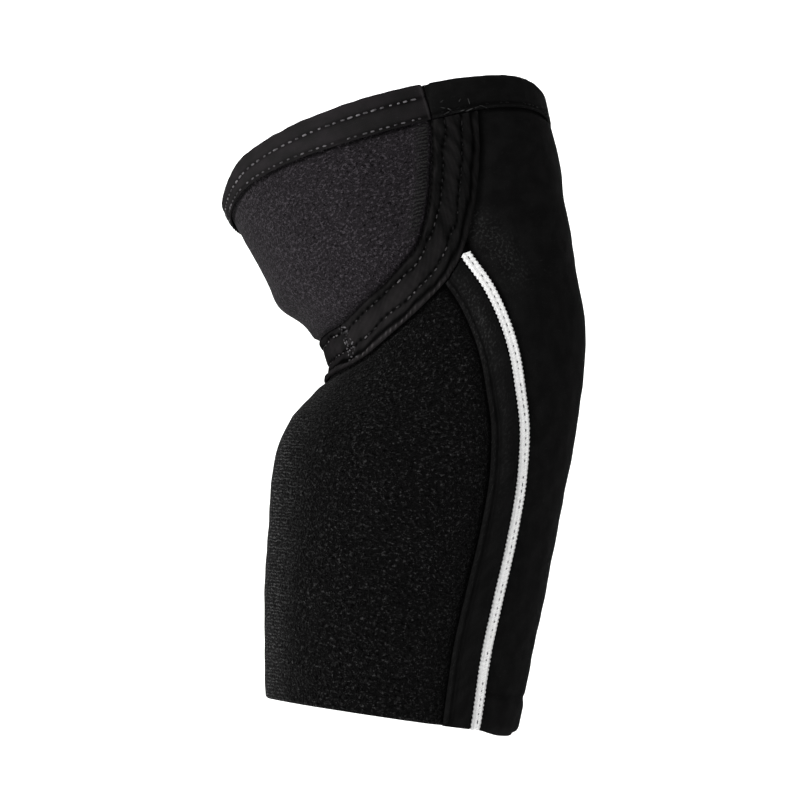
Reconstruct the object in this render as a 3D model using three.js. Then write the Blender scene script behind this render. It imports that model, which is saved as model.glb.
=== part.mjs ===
// An elbow brace: a bent tube of foam-backed knit, open at both ends, that an arm goes through.
// Millimetres. +Z runs up the arm and +X towards the back of the elbow; the near side is -Y.
// The origin is the middle of the elbow, on the sleeve's centre line.
//
// Every piece lies on one surface. A place on it has a turn, the angle round from the front
// of the arm, positive over the near side, and a reach, the distance up the centre line from
// the elbow. Pieces are drawn as lines and grids of turn and reach, then given a thickness.
import * as THREE from 'three';

const { degToRad, clamp, lerp } = THREE.MathUtils;

// Form of the sleeve
const elbowDepth = 91;
const elbowBreadth = 78;
const forearmLength = 123.5;
const upperLength = 85;
const bendArc = 56;
const forearmLean = degToRad(10.8);
const upperLean = degToRad(-18.5);
const carryingAngle = degToRad(12.5);
const carryingStart = 20;
const carryingEnd = 45;
const cornerFullness = 0.08;
const lowerRimRake = 2.2;

// Cloth and trim
const wall = 3;
const hemWall = 1;
const bandWall = 1;
const stripWall = 0.8;
const tapeWall = 1.2;
const bandWidth = 14.5;
const stripWidth = 8.2;
const tapeWidth = 3.6;
const frontHemDepth = 10.2;
const backHemDepth = 12.5;
const lowerHemDepth = 12;
const hemSlit = 2;
const bandJointTurn = degToRad(38);

// Clearances: between panels that meet at a seam, between a trim and what it lies on or beside,
// and between the ends of two bands
const seamGap = 0.6;
const layGap = 0.4;
const endGap = 0.9;

// Sections square to the centre line. along: share of the forearm length below the elbow,
// and of the upper length above it; front and back: shares of the elbow's depth;
// side: share of the elbow's breadth.
const sections = [
  { along: -1.00, front: 0.520, back: 0.437, side: 0.485 },
  { along: -0.80, front: 0.578, back: 0.445, side: 0.505 },
  { along: -0.55, front: 0.632, back: 0.450, side: 0.530 },
  { along: -0.33, front: 0.658, back: 0.452, side: 0.545 },
  { along: -0.22, front: 0.624, back: 0.454, side: 0.535 },
  { along: -0.10, front: 0.560, back: 0.465, side: 0.510 },
  { along: 0.00, front: 0.500, back: 0.492, side: 0.500 },
  { along: 0.12, front: 0.498, back: 0.507, side: 0.502 },
  { along: 0.25, front: 0.508, back: 0.520, side: 0.515 },
  { along: 0.36, front: 0.540, back: 0.540, side: 0.530 },
  { along: 0.48, front: 0.596, back: 0.560, side: 0.550 },
  { along: 0.70, front: 0.636, back: 0.592, side: 0.585 },
  { along: 1.00, front: 0.688, back: 0.626, side: 0.630 },
];

// The curved band's middle line over the near side, from the crease of the elbow to past the
// upper rim. turn: degrees; along: share of the length, as for the sections.
const bandRoute = [
  { turn: 0, along: 0.108 },
  { turn: 20, along: 0.109 },
  { turn: 39, along: 0.122 },
  { turn: 58, along: 0.194 },
  { turn: 76, along: 0.274 },
  { turn: 89, along: 0.355 },
  { turn: 98, along: 0.490 },
  { turn: 104, along: 0.650 },
  { turn: 107.5, along: 0.830 },
  { turn: 110.5, along: 1.000 },
  { turn: 113, along: 1.160 },
];

// The light tape's middle line over the near side, from under the band to past the lower rim
const tapeRoute = [
  { turn: 96, along: 0.420 },
  { turn: 99, along: 0.310 },
  { turn: 105, along: 0.190 },
  { turn: 111, along: 0.040 },
  { turn: 116.5, along: -0.080 },
  { turn: 121.5, along: -0.178 },
  { turn: 125, along: -0.310 },
  { turn: 125.6, along: -0.470 },
  { turn: 124.6, along: -0.630 },
  { turn: 124, along: -0.790 },
  { turn: 126, along: -0.950 },
  { turn: 128, along: -1.080 },
];

// How finely the faces are drawn: cells over each stretch, and points along a route
const fine = {
  routePoints: 90,
  forearmHalf: 11,
  forearmRows: 15,
  frontHalf: 10,
  frontRows: 9,
  backColumns: 17,
  backRowsBelow: 14,
  backRowsAbove: 8,
  hemSteps: 26,
  bandSteps: 24,
  creaseSteps: 12,
  stripSteps: 22,
};
const bandLanes = 3;
const stripLanes = 2;
const tapeLanes = 1;

// The reach at which the panels stop short of a rim that a hem goes round
const panelTop = upperLength - layGap - hemWall;
const backPanelFoot = -(forearmLength - layGap - hemWall);
// How far either side of the surface a hem's inner leg and a trim's under side lie
const underHem = -(wall + layGap);

const reachOf = (along) => along * (along < 0 ? forearmLength : upperLength);
const shareOf = (reach) => reach / (reach < 0 ? forearmLength : upperLength);

// One column of the sections, read smoothly between its rows and straight on past them
function sectionValue(column, share) {
  const last = sections.length - 1;
  const slope = (i) => (sections[i + 1][column] - sections[i][column])
    / (sections[i + 1].along - sections[i].along);
  const slopeAt = (i) => (slope(Math.max(i - 1, 0)) + slope(Math.min(i, last - 1))) / 2;
  const next = sections.findIndex((row) => row.along >= share);
  const i = next < 0 ? last - 1 : Math.max(next - 1, 0);
  const length = sections[i + 1].along - sections[i].along;
  const raw = (share - sections[i].along) / length;
  const t = clamp(raw, 0, 1);
  const start = slopeAt(i) * length;
  const end = slopeAt(i + 1) * length;
  const between = (1 + 2 * t) * (1 - t) ** 2 * sections[i][column] + t * (1 - t) ** 2 * start
    + t ** 2 * (3 - 2 * t) * sections[i + 1][column] + t ** 2 * (t - 1) * end;
  return between + Math.min(raw, 0) * start + Math.max(raw - 1, 0) * end;
}

// The centre line in the plane of the bend: straight, an arc through the origin, straight
function centreAt(reach) {
  const middle = (forearmLean + upperLean) / 2;
  const radius = bendArc / (upperLean - forearmLean);
  const bent = clamp(reach, -bendArc / 2, bendArc / 2);
  const lean = middle + bent / radius;
  const rest = reach - bent;
  return {
    lean,
    x: radius * (Math.cos(middle) - Math.cos(lean)) + rest * Math.sin(lean),
    z: radius * (Math.sin(lean) - Math.sin(middle)) + rest * Math.cos(lean),
  };
}

// Leans what is above the elbow away to the far side, through an even bend
function carried(point) {
  const radius = (carryingStart + carryingEnd) / carryingAngle;
  const angle = clamp(point.z + carryingStart, 0, carryingStart + carryingEnd) / radius;
  const over = Math.max(point.z - carryingEnd, 0);
  const y = radius * (1 - Math.cos(angle)) + over * Math.sin(angle) + point.y * Math.cos(angle);
  const z = Math.min(point.z, -carryingStart) + radius * Math.sin(angle)
    + over * Math.cos(angle) - point.y * Math.sin(angle);
  return new THREE.Vector3(point.x, y, z);
}

// A place on the outer face of the cloth: an egg-shaped section, flatter to the back
function onSleeve({ x: turn, y: reach }) {
  const forward = Math.cos(turn);
  const sideways = Math.sin(turn);
  const share = shareOf(reach);
  const centre = centreAt(reach - lowerRimRake * forward * Math.min(share, 0) ** 2);
  const depth = elbowDepth * sectionValue(forward > 0 ? 'front' : 'back', share);
  const back = -depth * forward * (1 + cornerFullness * sideways ** 2);
  const breadth = elbowBreadth * sectionValue('side', share);
  const near = breadth * sideways * (1 + cornerFullness * forward ** 2);
  const x = centre.x + back * Math.cos(centre.lean);
  const z = centre.z - back * Math.sin(centre.lean);
  return carried(new THREE.Vector3(x, -near, z));
}

// How the outer face runs at a place: millimetres round per radian, up per millimetre, and out
function facing(place) {
  const turnStep = new THREE.Vector2(0.001, 0);
  const reachStep = new THREE.Vector2(0, 0.05);
  const round = onSleeve(place.clone().add(turnStep)).sub(onSleeve(place.clone().sub(turnStep)));
  const up = onSleeve(place.clone().add(reachStep)).sub(onSleeve(place.clone().sub(reachStep)));
  round.divideScalar(2 * turnStep.x);
  up.divideScalar(2 * reachStep.y);
  return { round, up, out: new THREE.Vector3().crossVectors(round, up).normalize() };
}

const lifted = (place, lift) => onSleeve(place).addScaledVector(facing(place).out, lift);

const mirrored = (place) => new THREE.Vector2(-place.x, place.y);
const acrossBack = (place) => new THREE.Vector2(2 * Math.PI - place.x, place.y);
// A half line that starts at the front, with its mirror image before it
const bothSides = (half) => [...half.slice(1).reverse().map(mirrored), ...half];

function route(rows) {
  const places = rows.map(({ turn, along }) => new THREE.Vector2(degToRad(turn), reachOf(along)));
  return new THREE.SplineCurve(places).getPoints(fine.routePoints);
}

const straight = (from, to) => Array.from({ length: fine.routePoints + 1 },
  (_, i) => from.clone().lerp(to, i / fine.routePoints));
const levelLine = (reach, fromTurn, toTurn) => straight(
  new THREE.Vector2(fromTurn, reach), new THREE.Vector2(toTurn, reach));

// A line moved sideways over the cloth, to the right of its run as seen from outside
function beside(line, shift) {
  return line.map((place, i) => {
    const before = onSleeve(line[Math.max(i - 1, 0)]);
    const after = onSleeve(line[Math.min(i + 1, line.length - 1)]);
    const { round, up, out } = facing(place);
    const run = after.sub(before).normalize();
    const aside = run.cross(out).multiplyScalar(shift);
    const skew = round.dot(up);
    const spread = round.lengthSq() * up.lengthSq() - skew ** 2;
    const turn = (aside.dot(round) * up.lengthSq() - aside.dot(up) * skew) / spread;
    const reach = (aside.dot(up) * round.lengthSq() - aside.dot(round) * skew) / spread;
    return new THREE.Vector2(place.x + turn, place.y + reach);
  });
}

// Where a line first crosses another, as a count of its own steps
function meeting(line, other) {
  for (let i = 1; i < line.length; i += 1) {
    const run = line[i].clone().sub(line[i - 1]);
    for (let j = 1; j < other.length; j += 1) {
      const otherRun = other[j].clone().sub(other[j - 1]);
      const apart = other[j - 1].clone().sub(line[i - 1]);
      const t = apart.cross(otherRun) / run.cross(otherRun);
      const v = apart.cross(run) / run.cross(otherRun);
      if (t >= 0 && t <= 1 && v >= 0 && v <= 1) return i - 1 + t;
    }
  }
  throw new Error('two lines that should cross do not');
}

// Places at equal distances over the cloth, from one step count on a line to another
function stretch(line, from, to, cells) {
  const low = Math.min(from, to);
  const high = Math.max(from, to);
  const at = (t) => {
    const i = Math.min(Math.floor(t), line.length - 2);
    return line[i].clone().lerp(line[i + 1], t - i);
  };
  const inside = line.filter((_, i) => i > low && i < high);
  const places = [at(low), ...inside, at(high)];
  const lengths = [0];
  for (let i = 1; i < places.length; i += 1) {
    lengths.push(lengths[i - 1] + onSleeve(places[i]).distanceTo(onSleeve(places[i - 1])));
  }
  const total = lengths[lengths.length - 1];
  const even = Array.from({ length: cells + 1 }, (_, k) => {
    const wanted = total * k / cells;
    const found = lengths.findIndex((length) => length >= wanted);
    const i = found < 0 ? places.length - 1 : Math.max(found, 1);
    const share = (wanted - lengths[i - 1]) / (lengths[i] - lengths[i - 1]);
    return places[i - 1].clone().lerp(places[i], clamp(share, 0, 1));
  });
  return from > to ? even.reverse() : even;
}

const whole = (line, cells) => stretch(line, 0, line.length - 1, cells);

// A grid of places filled in evenly between four border lines
function fillBetween(bottom, top, left, right) {
  return left.map((leftPlace, i) => bottom.map((bottomPlace, j) => {
    const v = i / (left.length - 1);
    const c = j / (bottom.length - 1);
    const blend = (key) => lerp(bottomPlace[key], top[j][key], v)
      + lerp(leftPlace[key], right[i][key], c)
      - lerp(lerp(bottom[0][key], bottom[bottom.length - 1][key], c),
        lerp(top[0][key], top[top.length - 1][key], c), v);
    return new THREE.Vector2(blend('x'), blend('y'));
  }));
}

// A closed solid between two matching grids of points; the first has its face outwards when
// its columns run round and its rows run up
function solidBetween(outer, inner) {
  const rows = outer.length;
  const columns = outer[0].length;
  const index = (side, i, j) => (side * rows + i) * columns + j;
  const faces = [];
  const quad = (a, b, c, d) => faces.push(a, b, c, a, c, d);
  for (let i = 1; i < rows; i += 1) {
    for (let j = 1; j < columns; j += 1) {
      quad(index(0, i - 1, j - 1), index(0, i - 1, j), index(0, i, j), index(0, i, j - 1));
      quad(index(1, i - 1, j - 1), index(1, i, j - 1), index(1, i, j), index(1, i - 1, j));
    }
    const end = columns - 1;
    quad(index(0, i - 1, 0), index(0, i, 0), index(1, i, 0), index(1, i - 1, 0));
    quad(index(0, i - 1, end), index(1, i - 1, end), index(1, i, end), index(0, i, end));
  }
  for (let j = 1; j < columns; j += 1) {
    const end = rows - 1;
    quad(index(0, 0, j - 1), index(1, 0, j - 1), index(1, 0, j), index(0, 0, j));
    quad(index(0, end, j - 1), index(0, end, j), index(1, end, j), index(1, end, j - 1));
  }
  const points = [...outer.flat(), ...inner.flat()];
  const geometry = new THREE.BufferGeometry().setFromPoints(points);
  geometry.setIndex(faces);
  geometry.computeVertexNormals();
  return geometry;
}

// Cloth over a grid of places, between two distances from the outer face
function clothOver(grid, under, over) {
  const layer = (lift) => grid.map((row) => row.map((place) => lifted(place, lift)));
  return solidBetween(layer(over), layer(under));
}

// Cloth folded along a rim: two matching lists of reach and lift, the outside of the fold first
function foldedRound(outside, inside, turns) {
  const layer = (profile) => profile.map(({ reach, lift }) => turns.map(
    (turn) => lifted(new THREE.Vector2(turn, reach), lift)));
  return solidBetween(layer(outside), layer(inside));
}

// A hem round the upper rim: an outer leg, the turned edge and an inner leg
function upperHem(depth, turns) {
  const foot = upperLength - depth;
  const outside = [
    { reach: foot, lift: layGap + hemWall },
    { reach: upperLength, lift: layGap + hemWall },
    { reach: upperLength, lift: underHem - hemWall },
    { reach: foot, lift: underHem - hemWall },
  ];
  const inside = [
    { reach: foot, lift: layGap },
    { reach: panelTop + layGap, lift: layGap },
    { reach: panelTop + layGap, lift: underHem },
    { reach: foot, lift: underHem },
  ];
  return foldedRound(outside, inside, turns);
}

// The hem of the back panel's foot, turned in under the edge and up the inside
function lowerHem(turns) {
  const top = -forearmLength + lowerHemDepth;
  const outside = [
    { reach: top, lift: underHem - hemWall },
    { reach: -forearmLength, lift: underHem - hemWall },
    { reach: -forearmLength, lift: 0 },
  ];
  const inside = [
    { reach: top, lift: underHem },
    { reach: -forearmLength + hemWall, lift: underHem },
    { reach: -forearmLength + hemWall, lift: 0 },
  ];
  return foldedRound(outside, inside, turns);
}

// A grid of places for a ribbon: lanes beside a line, from one shift to another, each cut
// where it meets the start and end lines, or at a count of the line's steps
function ribbon(line, shifts, lanes, start, end, cells) {
  const stop = (lane, limit) => (typeof limit === 'number' ? limit : meeting(lane, limit));
  return Array.from({ length: lanes + 1 }, (_, i) => {
    const lane = beside(line, lerp(shifts[1], shifts[0], i / lanes));
    return stretch(lane, stop(lane, start), stop(lane, end), cells);
  });
}

const otherSide = (grid) => grid.map((row) => row.map(mirrored).reverse());

// The lines that the pieces share. The band's line runs over both sides; the others, and the
// near lines cut from it, start at the front or the top and stay on the near side.
const bandHalf = route(bandRoute);
const bandLine = bothSides(bandHalf);
const nearPart = (line) => line.slice(bandHalf.length - 1);
const tapeLine = route(tapeRoute);
const stripShift = tapeWidth / 2 + layGap;
const backSeamShift = stripShift + stripWidth / 2;
const topLine = levelLine(panelTop, 0, Math.PI);
const footLine = levelLine(-forearmLength, 0, Math.PI);
const backFootLine = levelLine(backPanelFoot, 0, Math.PI);

const aboveBand = nearPart(beside(bandLine, -seamGap / 2));
const belowBand = nearPart(beside(bandLine, seamGap / 2));
const frontOfSeam = beside(tapeLine, backSeamShift + seamGap / 2);
const backOfSeam = beside(tapeLine, backSeamShift - seamGap / 2);

// The cloth panels
function upperFrontPanel() {
  const knee = meeting(aboveBand, straight(
    new THREE.Vector2(degToRad(82), 0), new THREE.Vector2(degToRad(82), upperLength)));
  const rimSide = meeting(aboveBand, topLine);
  const side = stretch(aboveBand, knee, rimSide, fine.frontRows);
  const rim = levelLine(panelTop, 0, side[side.length - 1].x);
  const bottom = bothSides(stretch(aboveBand, 0, knee, fine.frontHalf));
  const top = bothSides(whole(rim, fine.frontHalf));
  return clothOver(fillBetween(bottom, top, side.map(mirrored), side), -wall, 0);
}

function forearmPanel() {
  const corner = meeting(belowBand, frontOfSeam);
  const cornerOnSeam = meeting(frontOfSeam, belowBand);
  const foot = meeting(frontOfSeam, footLine);
  const side = stretch(frontOfSeam, foot, cornerOnSeam, fine.forearmRows);
  const rim = levelLine(-forearmLength, 0, side[0].x);
  const top = bothSides(stretch(belowBand, 0, corner, fine.forearmHalf));
  const bottom = bothSides(whole(rim, fine.forearmHalf));
  return clothOver(fillBetween(bottom, top, side.map(mirrored), side), -wall, 0);
}

function backPanel() {
  const corner = meeting(belowBand, backOfSeam);
  const cornerOnSeam = meeting(backOfSeam, belowBand);
  const foot = meeting(backOfSeam, backFootLine);
  const rimSide = meeting(belowBand, topLine);
  const below = stretch(backOfSeam, foot, cornerOnSeam, fine.backRowsBelow);
  const above = stretch(belowBand, corner, rimSide, fine.backRowsAbove);
  const side = [...below, ...above.slice(1)];
  const grid = side.map((place) => whole(straight(place, acrossBack(place)), fine.backColumns));
  return clothOver(grid, -wall, 0);
}

// The hems: the front one stops at the band's front edge, and the back one starts a slit on
const hemSlitTurn = (place) => hemSlit / facing(place).round.length();
const bandFrontEdge = nearPart(beside(bandLine, -bandWidth / 2 - layGap));
const hemCorner = stretch(bandFrontEdge, meeting(bandFrontEdge,
  levelLine(upperLength - frontHemDepth, 0, Math.PI)), bandFrontEdge.length - 1, 1)[0];

function frontHem() {
  const turns = bothSides(whole(levelLine(upperLength, 0, hemCorner.x), fine.hemSteps / 2));
  return upperHem(frontHemDepth, turns.map((place) => place.x));
}

function backHem() {
  const start = new THREE.Vector2(hemCorner.x + hemSlitTurn(hemCorner), upperLength);
  const turns = whole(straight(start, acrossBack(start)), fine.hemSteps);
  return upperHem(backHemDepth, turns.map((place) => place.x));
}

function footHem() {
  const start = stretch(backOfSeam, meeting(backOfSeam, footLine), backOfSeam.length - 1, 1)[0];
  const turns = whole(straight(start, acrossBack(start)), fine.hemSteps);
  return lowerHem(turns.map((place) => place.x));
}

// The trims over the seams
const bandShifts = [-bandWidth / 2, bandWidth / 2];
const jointAt = meeting(nearPart(bandLine), straight(
  new THREE.Vector2(bandJointTurn, -upperLength), new THREE.Vector2(bandJointTurn, upperLength)));
const endGapSteps = endGap / onSleeve(bandHalf[Math.floor(jointAt)])
  .distanceTo(onSleeve(bandHalf[Math.floor(jointAt) + 1]));

function sideBand() {
  const line = nearPart(bandLine);
  const underHemFoot = levelLine(upperLength - backHemDepth - layGap, 0, Math.PI);
  const start = jointAt + endGapSteps / 2;
  return ribbon(line, bandShifts, bandLanes, start, underHemFoot, fine.bandSteps);
}

function creaseBand() {
  const middle = bandHalf.length - 1;
  const reachOut = jointAt - endGapSteps / 2;
  return ribbon(bandLine, bandShifts, bandLanes, middle - reachOut, middle + reachOut,
    fine.creaseSteps);
}

const bandBackEdge = nearPart(beside(bandLine, bandWidth / 2 + layGap));

function strip() {
  const shifts = [stripShift, stripShift + stripWidth];
  return ribbon(tapeLine, shifts, stripLanes, bandBackEdge, footLine, fine.stripSteps);
}

function tape() {
  const shifts = [-tapeWidth / 2, tapeWidth / 2];
  return ribbon(tapeLine, shifts, tapeLanes, bandBackEdge, footLine, fine.stripSteps);
}

const cloths = {
  charcoalKnit: new THREE.MeshStandardMaterial({ color: '#2a272a', roughness: 0.9 }),
  smoothCharcoal: new THREE.MeshStandardMaterial({ color: '#262425', roughness: 0.75 }),
  blackTerry: new THREE.MeshStandardMaterial({ color: '#131313', roughness: 0.95 }),
  blackJersey: new THREE.MeshStandardMaterial({ color: '#0f0f0f', roughness: 0.7 }),
  blackBand: new THREE.MeshStandardMaterial({ color: '#191819', roughness: 0.75 }),
  whiteTape: new THREE.MeshStandardMaterial({ color: '#d6d6d4', roughness: 0.6 }),
};

const brace = new THREE.Group();

function add(name, geometry, material) {
  const mesh = new THREE.Mesh(geometry, material);
  mesh.name = name;
  brace.add(mesh);
}

// A trim on the near side and its mirror image on the far side
function addPair(name, grid, thickness, material) {
  add(`${name}_near`, clothOver(grid, layGap, layGap + thickness), material);
  add(`${name}_far`, clothOver(otherSide(grid), layGap, layGap + thickness), material);
}

add('upper_front_panel', upperFrontPanel(), cloths.charcoalKnit);
add('forearm_panel', forearmPanel(), cloths.blackTerry);
add('back_panel', backPanel(), cloths.blackJersey);
add('front_hem', frontHem(), cloths.smoothCharcoal);
add('back_hem', backHem(), cloths.blackJersey);
add('lower_hem', footHem(), cloths.blackJersey);
add('crease_band', clothOver(creaseBand(), layGap, layGap + bandWall), cloths.smoothCharcoal);
addPair('curved_band', sideBand(), bandWall, cloths.blackBand);
addPair('side_strip', strip(), stripWall, cloths.blackJersey);
addPair('white_tape', tape(), tapeWall, cloths.whiteTape);

export default brace;
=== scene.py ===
"""An elbow brace: a bent tube of foam-backed knit with sewn seams, bands, strips and light tapes.

Every piece lies on one bent tube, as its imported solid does. A place on the tube has a turn, the
angle round from the front of the arm, positive over the near side, and a reach, the distance up
the centre line from the elbow. Shapes are worked out in millimetres and put in the meshes in
metres. The near side is -Y, and +X is the back of the elbow.
"""
import math
from collections import namedtuple

import bpy
import numpy as np
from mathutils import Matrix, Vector


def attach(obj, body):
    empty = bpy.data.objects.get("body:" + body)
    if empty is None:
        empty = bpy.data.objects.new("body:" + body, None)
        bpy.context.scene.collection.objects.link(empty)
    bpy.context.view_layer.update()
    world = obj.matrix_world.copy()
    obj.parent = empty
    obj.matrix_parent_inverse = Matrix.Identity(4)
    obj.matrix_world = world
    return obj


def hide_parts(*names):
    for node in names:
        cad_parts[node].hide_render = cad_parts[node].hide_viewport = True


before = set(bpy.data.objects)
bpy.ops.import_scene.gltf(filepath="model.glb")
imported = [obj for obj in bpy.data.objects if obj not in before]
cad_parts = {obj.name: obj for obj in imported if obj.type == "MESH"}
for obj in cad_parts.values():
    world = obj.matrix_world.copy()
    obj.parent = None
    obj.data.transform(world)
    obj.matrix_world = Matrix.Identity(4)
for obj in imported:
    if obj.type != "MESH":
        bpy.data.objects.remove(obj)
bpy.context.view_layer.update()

chance = np.random.default_rng(7)
METRES = 0.001

# Form of the sleeve, in millimetres, with angles in radians
ELBOW_DEPTH = 91
ELBOW_BREADTH = 78
FOREARM_LENGTH = 123.5
UPPER_LENGTH = 85
BEND_ARC = 56
FOREARM_LEAN = math.radians(10.8)
UPPER_LEAN = math.radians(-18.5)
CARRYING_ANGLE = math.radians(12.5)
CARRYING_START = 20
CARRYING_END = 45
CORNER_FULLNESS = 0.08
LOWER_RIM_RAKE = 2.2

# Cloth and trim
WALL = 3
HEM_WALL = 1
BAND_WALL = 1
STRIP_WALL = 0.8
TAPE_WALL = 1.2
BAND_WIDTH = 14.5
STRIP_WIDTH = 9.5
SEAM_UNDER_STRIP = 4.1
TAPE_WIDTH = 3.6
FRONT_HEM_DEPTH = 10.2
BACK_HEM_DEPTH = 12.5
LOWER_HEM_DEPTH = 12
HEM_SLIT = 0.4
BAND_JOINT_TURN = math.radians(38)
SEAM_GAP = 0.6
LAY_GAP = 0.4
JOINT_SLIT = 0.06
PANEL_TOP = UPPER_LENGTH - LAY_GAP - HEM_WALL
UNDER_HEM = -(WALL + LAY_GAP)
HEM_TOP = LAY_GAP + HEM_WALL
BAND_TOP = LAY_GAP + BAND_WALL
STRIP_SHIFT = TAPE_WIDTH / 2 + LAY_GAP
BACK_SEAM_SHIFT = STRIP_SHIFT + SEAM_UNDER_STRIP
HALF_BAND = BAND_WIDTH / 2
HALF_STRIP = STRIP_WIDTH / 2
HALF_TAPE = TAPE_WIDTH / 2

# The soft form of worn cloth. The slit's spread and edge are turns, and the ends' lean a share.
PUFF = 1.15
SETTLE = 1.0
CREASE_DEPTH = 0.6
RIM_RISE = 2.6
BAND_GROWTH = 0.15
FRONT_HEM_DROP = 2.2
FRONT_HEM_RAISE = 2.5
END_LEAN = -0.003
SLIT_SPREAD = 0.05
SLIT_EDGE = 0.012
FOOT_ROUND = 3.2
FOOT_CURL = 1.9
DUST = 0.62
DUST_WIDTH = 5.5
FOOT_DROP = 1.5
FOOT_FREE = 3
FOOT_SINK = 0.4
TAPE_RIB = 1.5
TAPE_TUCK = 2.3
GROOVE_WIDTH = 0.55
RIM_ROUNDING = 0.46

# Rows of stitches: reaches on the hems, and shifts across the band at the joint and at the rim.
# The hem rows' inset from the slit is a turn.
FRONT_HEM_STITCHES = (UPPER_LENGTH - FRONT_HEM_DEPTH + 0.9, UPPER_LENGTH - 4.8)
BACK_HEM_STITCHES = (UPPER_LENGTH - BACK_HEM_DEPTH + 1.6,)
HEM_STITCH_REACH = -110.5
BAND_ROWS = {"front": (-4.7, -3.7), "back": (1.9, 1.5)}
BAND_GROOVE = 5.1
BAND_RIDGE = 6.3
STRIP_LIP = STRIP_WIDTH - 0.9
STRIP_GROOVES = (STRIP_WIDTH - 2.0, STRIP_WIDTH - 3.2)
STITCH_PITCH = 2.6
HEM_PITCH = 2.8
THREAD_ASIDE = 0.25
ROW_INSET = 0.02
HEM_SINK = 0.15
BAND_SINK = 0.35
JOINT_CLEAR = 2

# Cells of the meshes, and the lengths of the ribbons that they are counted from
PANEL_CELL = 1.0
PANEL_ROW = 1.05
UPPER_ROW = 0.9
HEM_CELL = 0.9
FOLD_CELL = 0.55
BAND_CELL = 0.5
STRIP_CELL = 0.8
TAPE_CELL = 0.3
CREASE_LENGTH = 60
BAND_LENGTH = 128
STRIP_LENGTH = 185
TAPE_LENGTH = 184
RIM_CELLS = np.array((0, 0.12, 0.4, 0.8, 1.3))
ROUTE_STEPS = 360
MEAN_RADIUS = 44.0
UV_PER_MM = 0.01

# Sections square to the centre line. along: share of the forearm length below the elbow and of
# the upper length above it; front and back: shares of the elbow's depth; side: of its breadth.
SECTION_COLUMNS = ("along", "front", "back", "side")
SECTIONS = dict(zip(SECTION_COLUMNS, np.array([
    (-1.00, 0.520, 0.437, 0.485),
    (-0.80, 0.578, 0.445, 0.505),
    (-0.55, 0.632, 0.450, 0.530),
    (-0.33, 0.658, 0.452, 0.545),
    (-0.22, 0.624, 0.454, 0.535),
    (-0.10, 0.560, 0.465, 0.510),
    (0.00, 0.500, 0.492, 0.500),
    (0.12, 0.498, 0.507, 0.502),
    (0.25, 0.508, 0.520, 0.515),
    (0.36, 0.540, 0.540, 0.530),
    (0.48, 0.596, 0.560, 0.550),
    (0.70, 0.636, 0.592, 0.585),
    (1.00, 0.688, 0.626, 0.630),
]).T))

# The middle lines of the curved band and of the light tape over the near side. Columns: turn in
# degrees, and along as for the sections.
BAND_ROUTE = (
    (0, 0.108), (20, 0.109), (39, 0.122), (58, 0.194), (76, 0.274), (89, 0.355),
    (98, 0.490), (104, 0.650), (108.4, 0.830), (112.3, 1.000), (115.5, 1.160),
)
TAPE_ROUTE = (
    (96, 0.420), (99, 0.310), (105, 0.190), (111, 0.040), (116.5, -0.080), (121.5, -0.178),
    (125, -0.310), (125.6, -0.470), (124.6, -0.630), (124, -0.790), (126, -0.950), (128, -1.080),
)


# The tube that every piece lies on


def section_value(column, share):
    """A cubic through the section rows, whose slope at a row is the mean of the slopes either
    side of it, and straight on past both ends."""
    rows, values = SECTIONS["along"], SECTIONS[column]
    lengths = np.diff(rows)
    slopes = np.diff(values) / lengths
    slope_at = (np.append(slopes[0], slopes) + np.append(slopes, slopes[-1])) / 2
    i = np.clip(np.searchsorted(rows, share) - 1, 0, len(lengths) - 1)
    raw = (share - rows[i]) / lengths[i]
    t = np.clip(raw, 0, 1)
    start, end = slope_at[i] * lengths[i], slope_at[i + 1] * lengths[i]
    between = ((1 + 2 * t) * (1 - t) ** 2 * values[i] + t * (1 - t) ** 2 * start
               + t ** 2 * (3 - 2 * t) * values[i + 1] + t ** 2 * (t - 1) * end)
    return between + np.minimum(raw, 0) * start + np.maximum(raw - 1, 0) * end


def centre_at(reach):
    """The centre line in the plane of the bend: straight, an arc through the origin, straight.
    Gives its lean, x and z."""
    middle = (FOREARM_LEAN + UPPER_LEAN) / 2
    radius = BEND_ARC / (UPPER_LEAN - FOREARM_LEAN)
    bent = np.clip(reach, -BEND_ARC / 2, BEND_ARC / 2)
    lean = middle + bent / radius
    rest = reach - bent
    x = radius * (math.cos(middle) - np.cos(lean)) + rest * np.sin(lean)
    z = radius * (np.sin(lean) - math.sin(middle)) + rest * np.cos(lean)
    return lean, x, z


def carried(x, y, z):
    """Leans what is above the elbow away to the far side, through an even bend whose angle grows
    with height."""
    radius = (CARRYING_START + CARRYING_END) / CARRYING_ANGLE
    angle = np.clip(z + CARRYING_START, 0, CARRYING_START + CARRYING_END) / radius
    over = np.maximum(z - CARRYING_END, 0)
    aside = radius * (1 - np.cos(angle)) + over * np.sin(angle) + y * np.cos(angle)
    height = (np.minimum(z, -CARRYING_START) + radius * np.sin(angle)
              + over * np.cos(angle) - y * np.sin(angle))
    return np.stack([x, aside, height], -1)


def smooth(x):
    """0 below 0 and 1 above 1, with an S between."""
    t = np.clip(x, 0, 1)
    return t * t * (3 - 2 * t)


def rising(x, low, high):
    """0 up to low and 1 from high on, with an S between."""
    return smooth((x - low) / (high - low))


def rim_rise(forward, reach):
    """How far the upper rim stands up in a low arch over each side of the front."""
    turn = np.degrees(np.arccos(np.clip(forward, -1, 1)))
    arch = rising(turn, 9, 39) * (1 - rising(turn, 58, 126))
    return RIM_RISE * arch * rising(reach, 74, 84)


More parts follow.
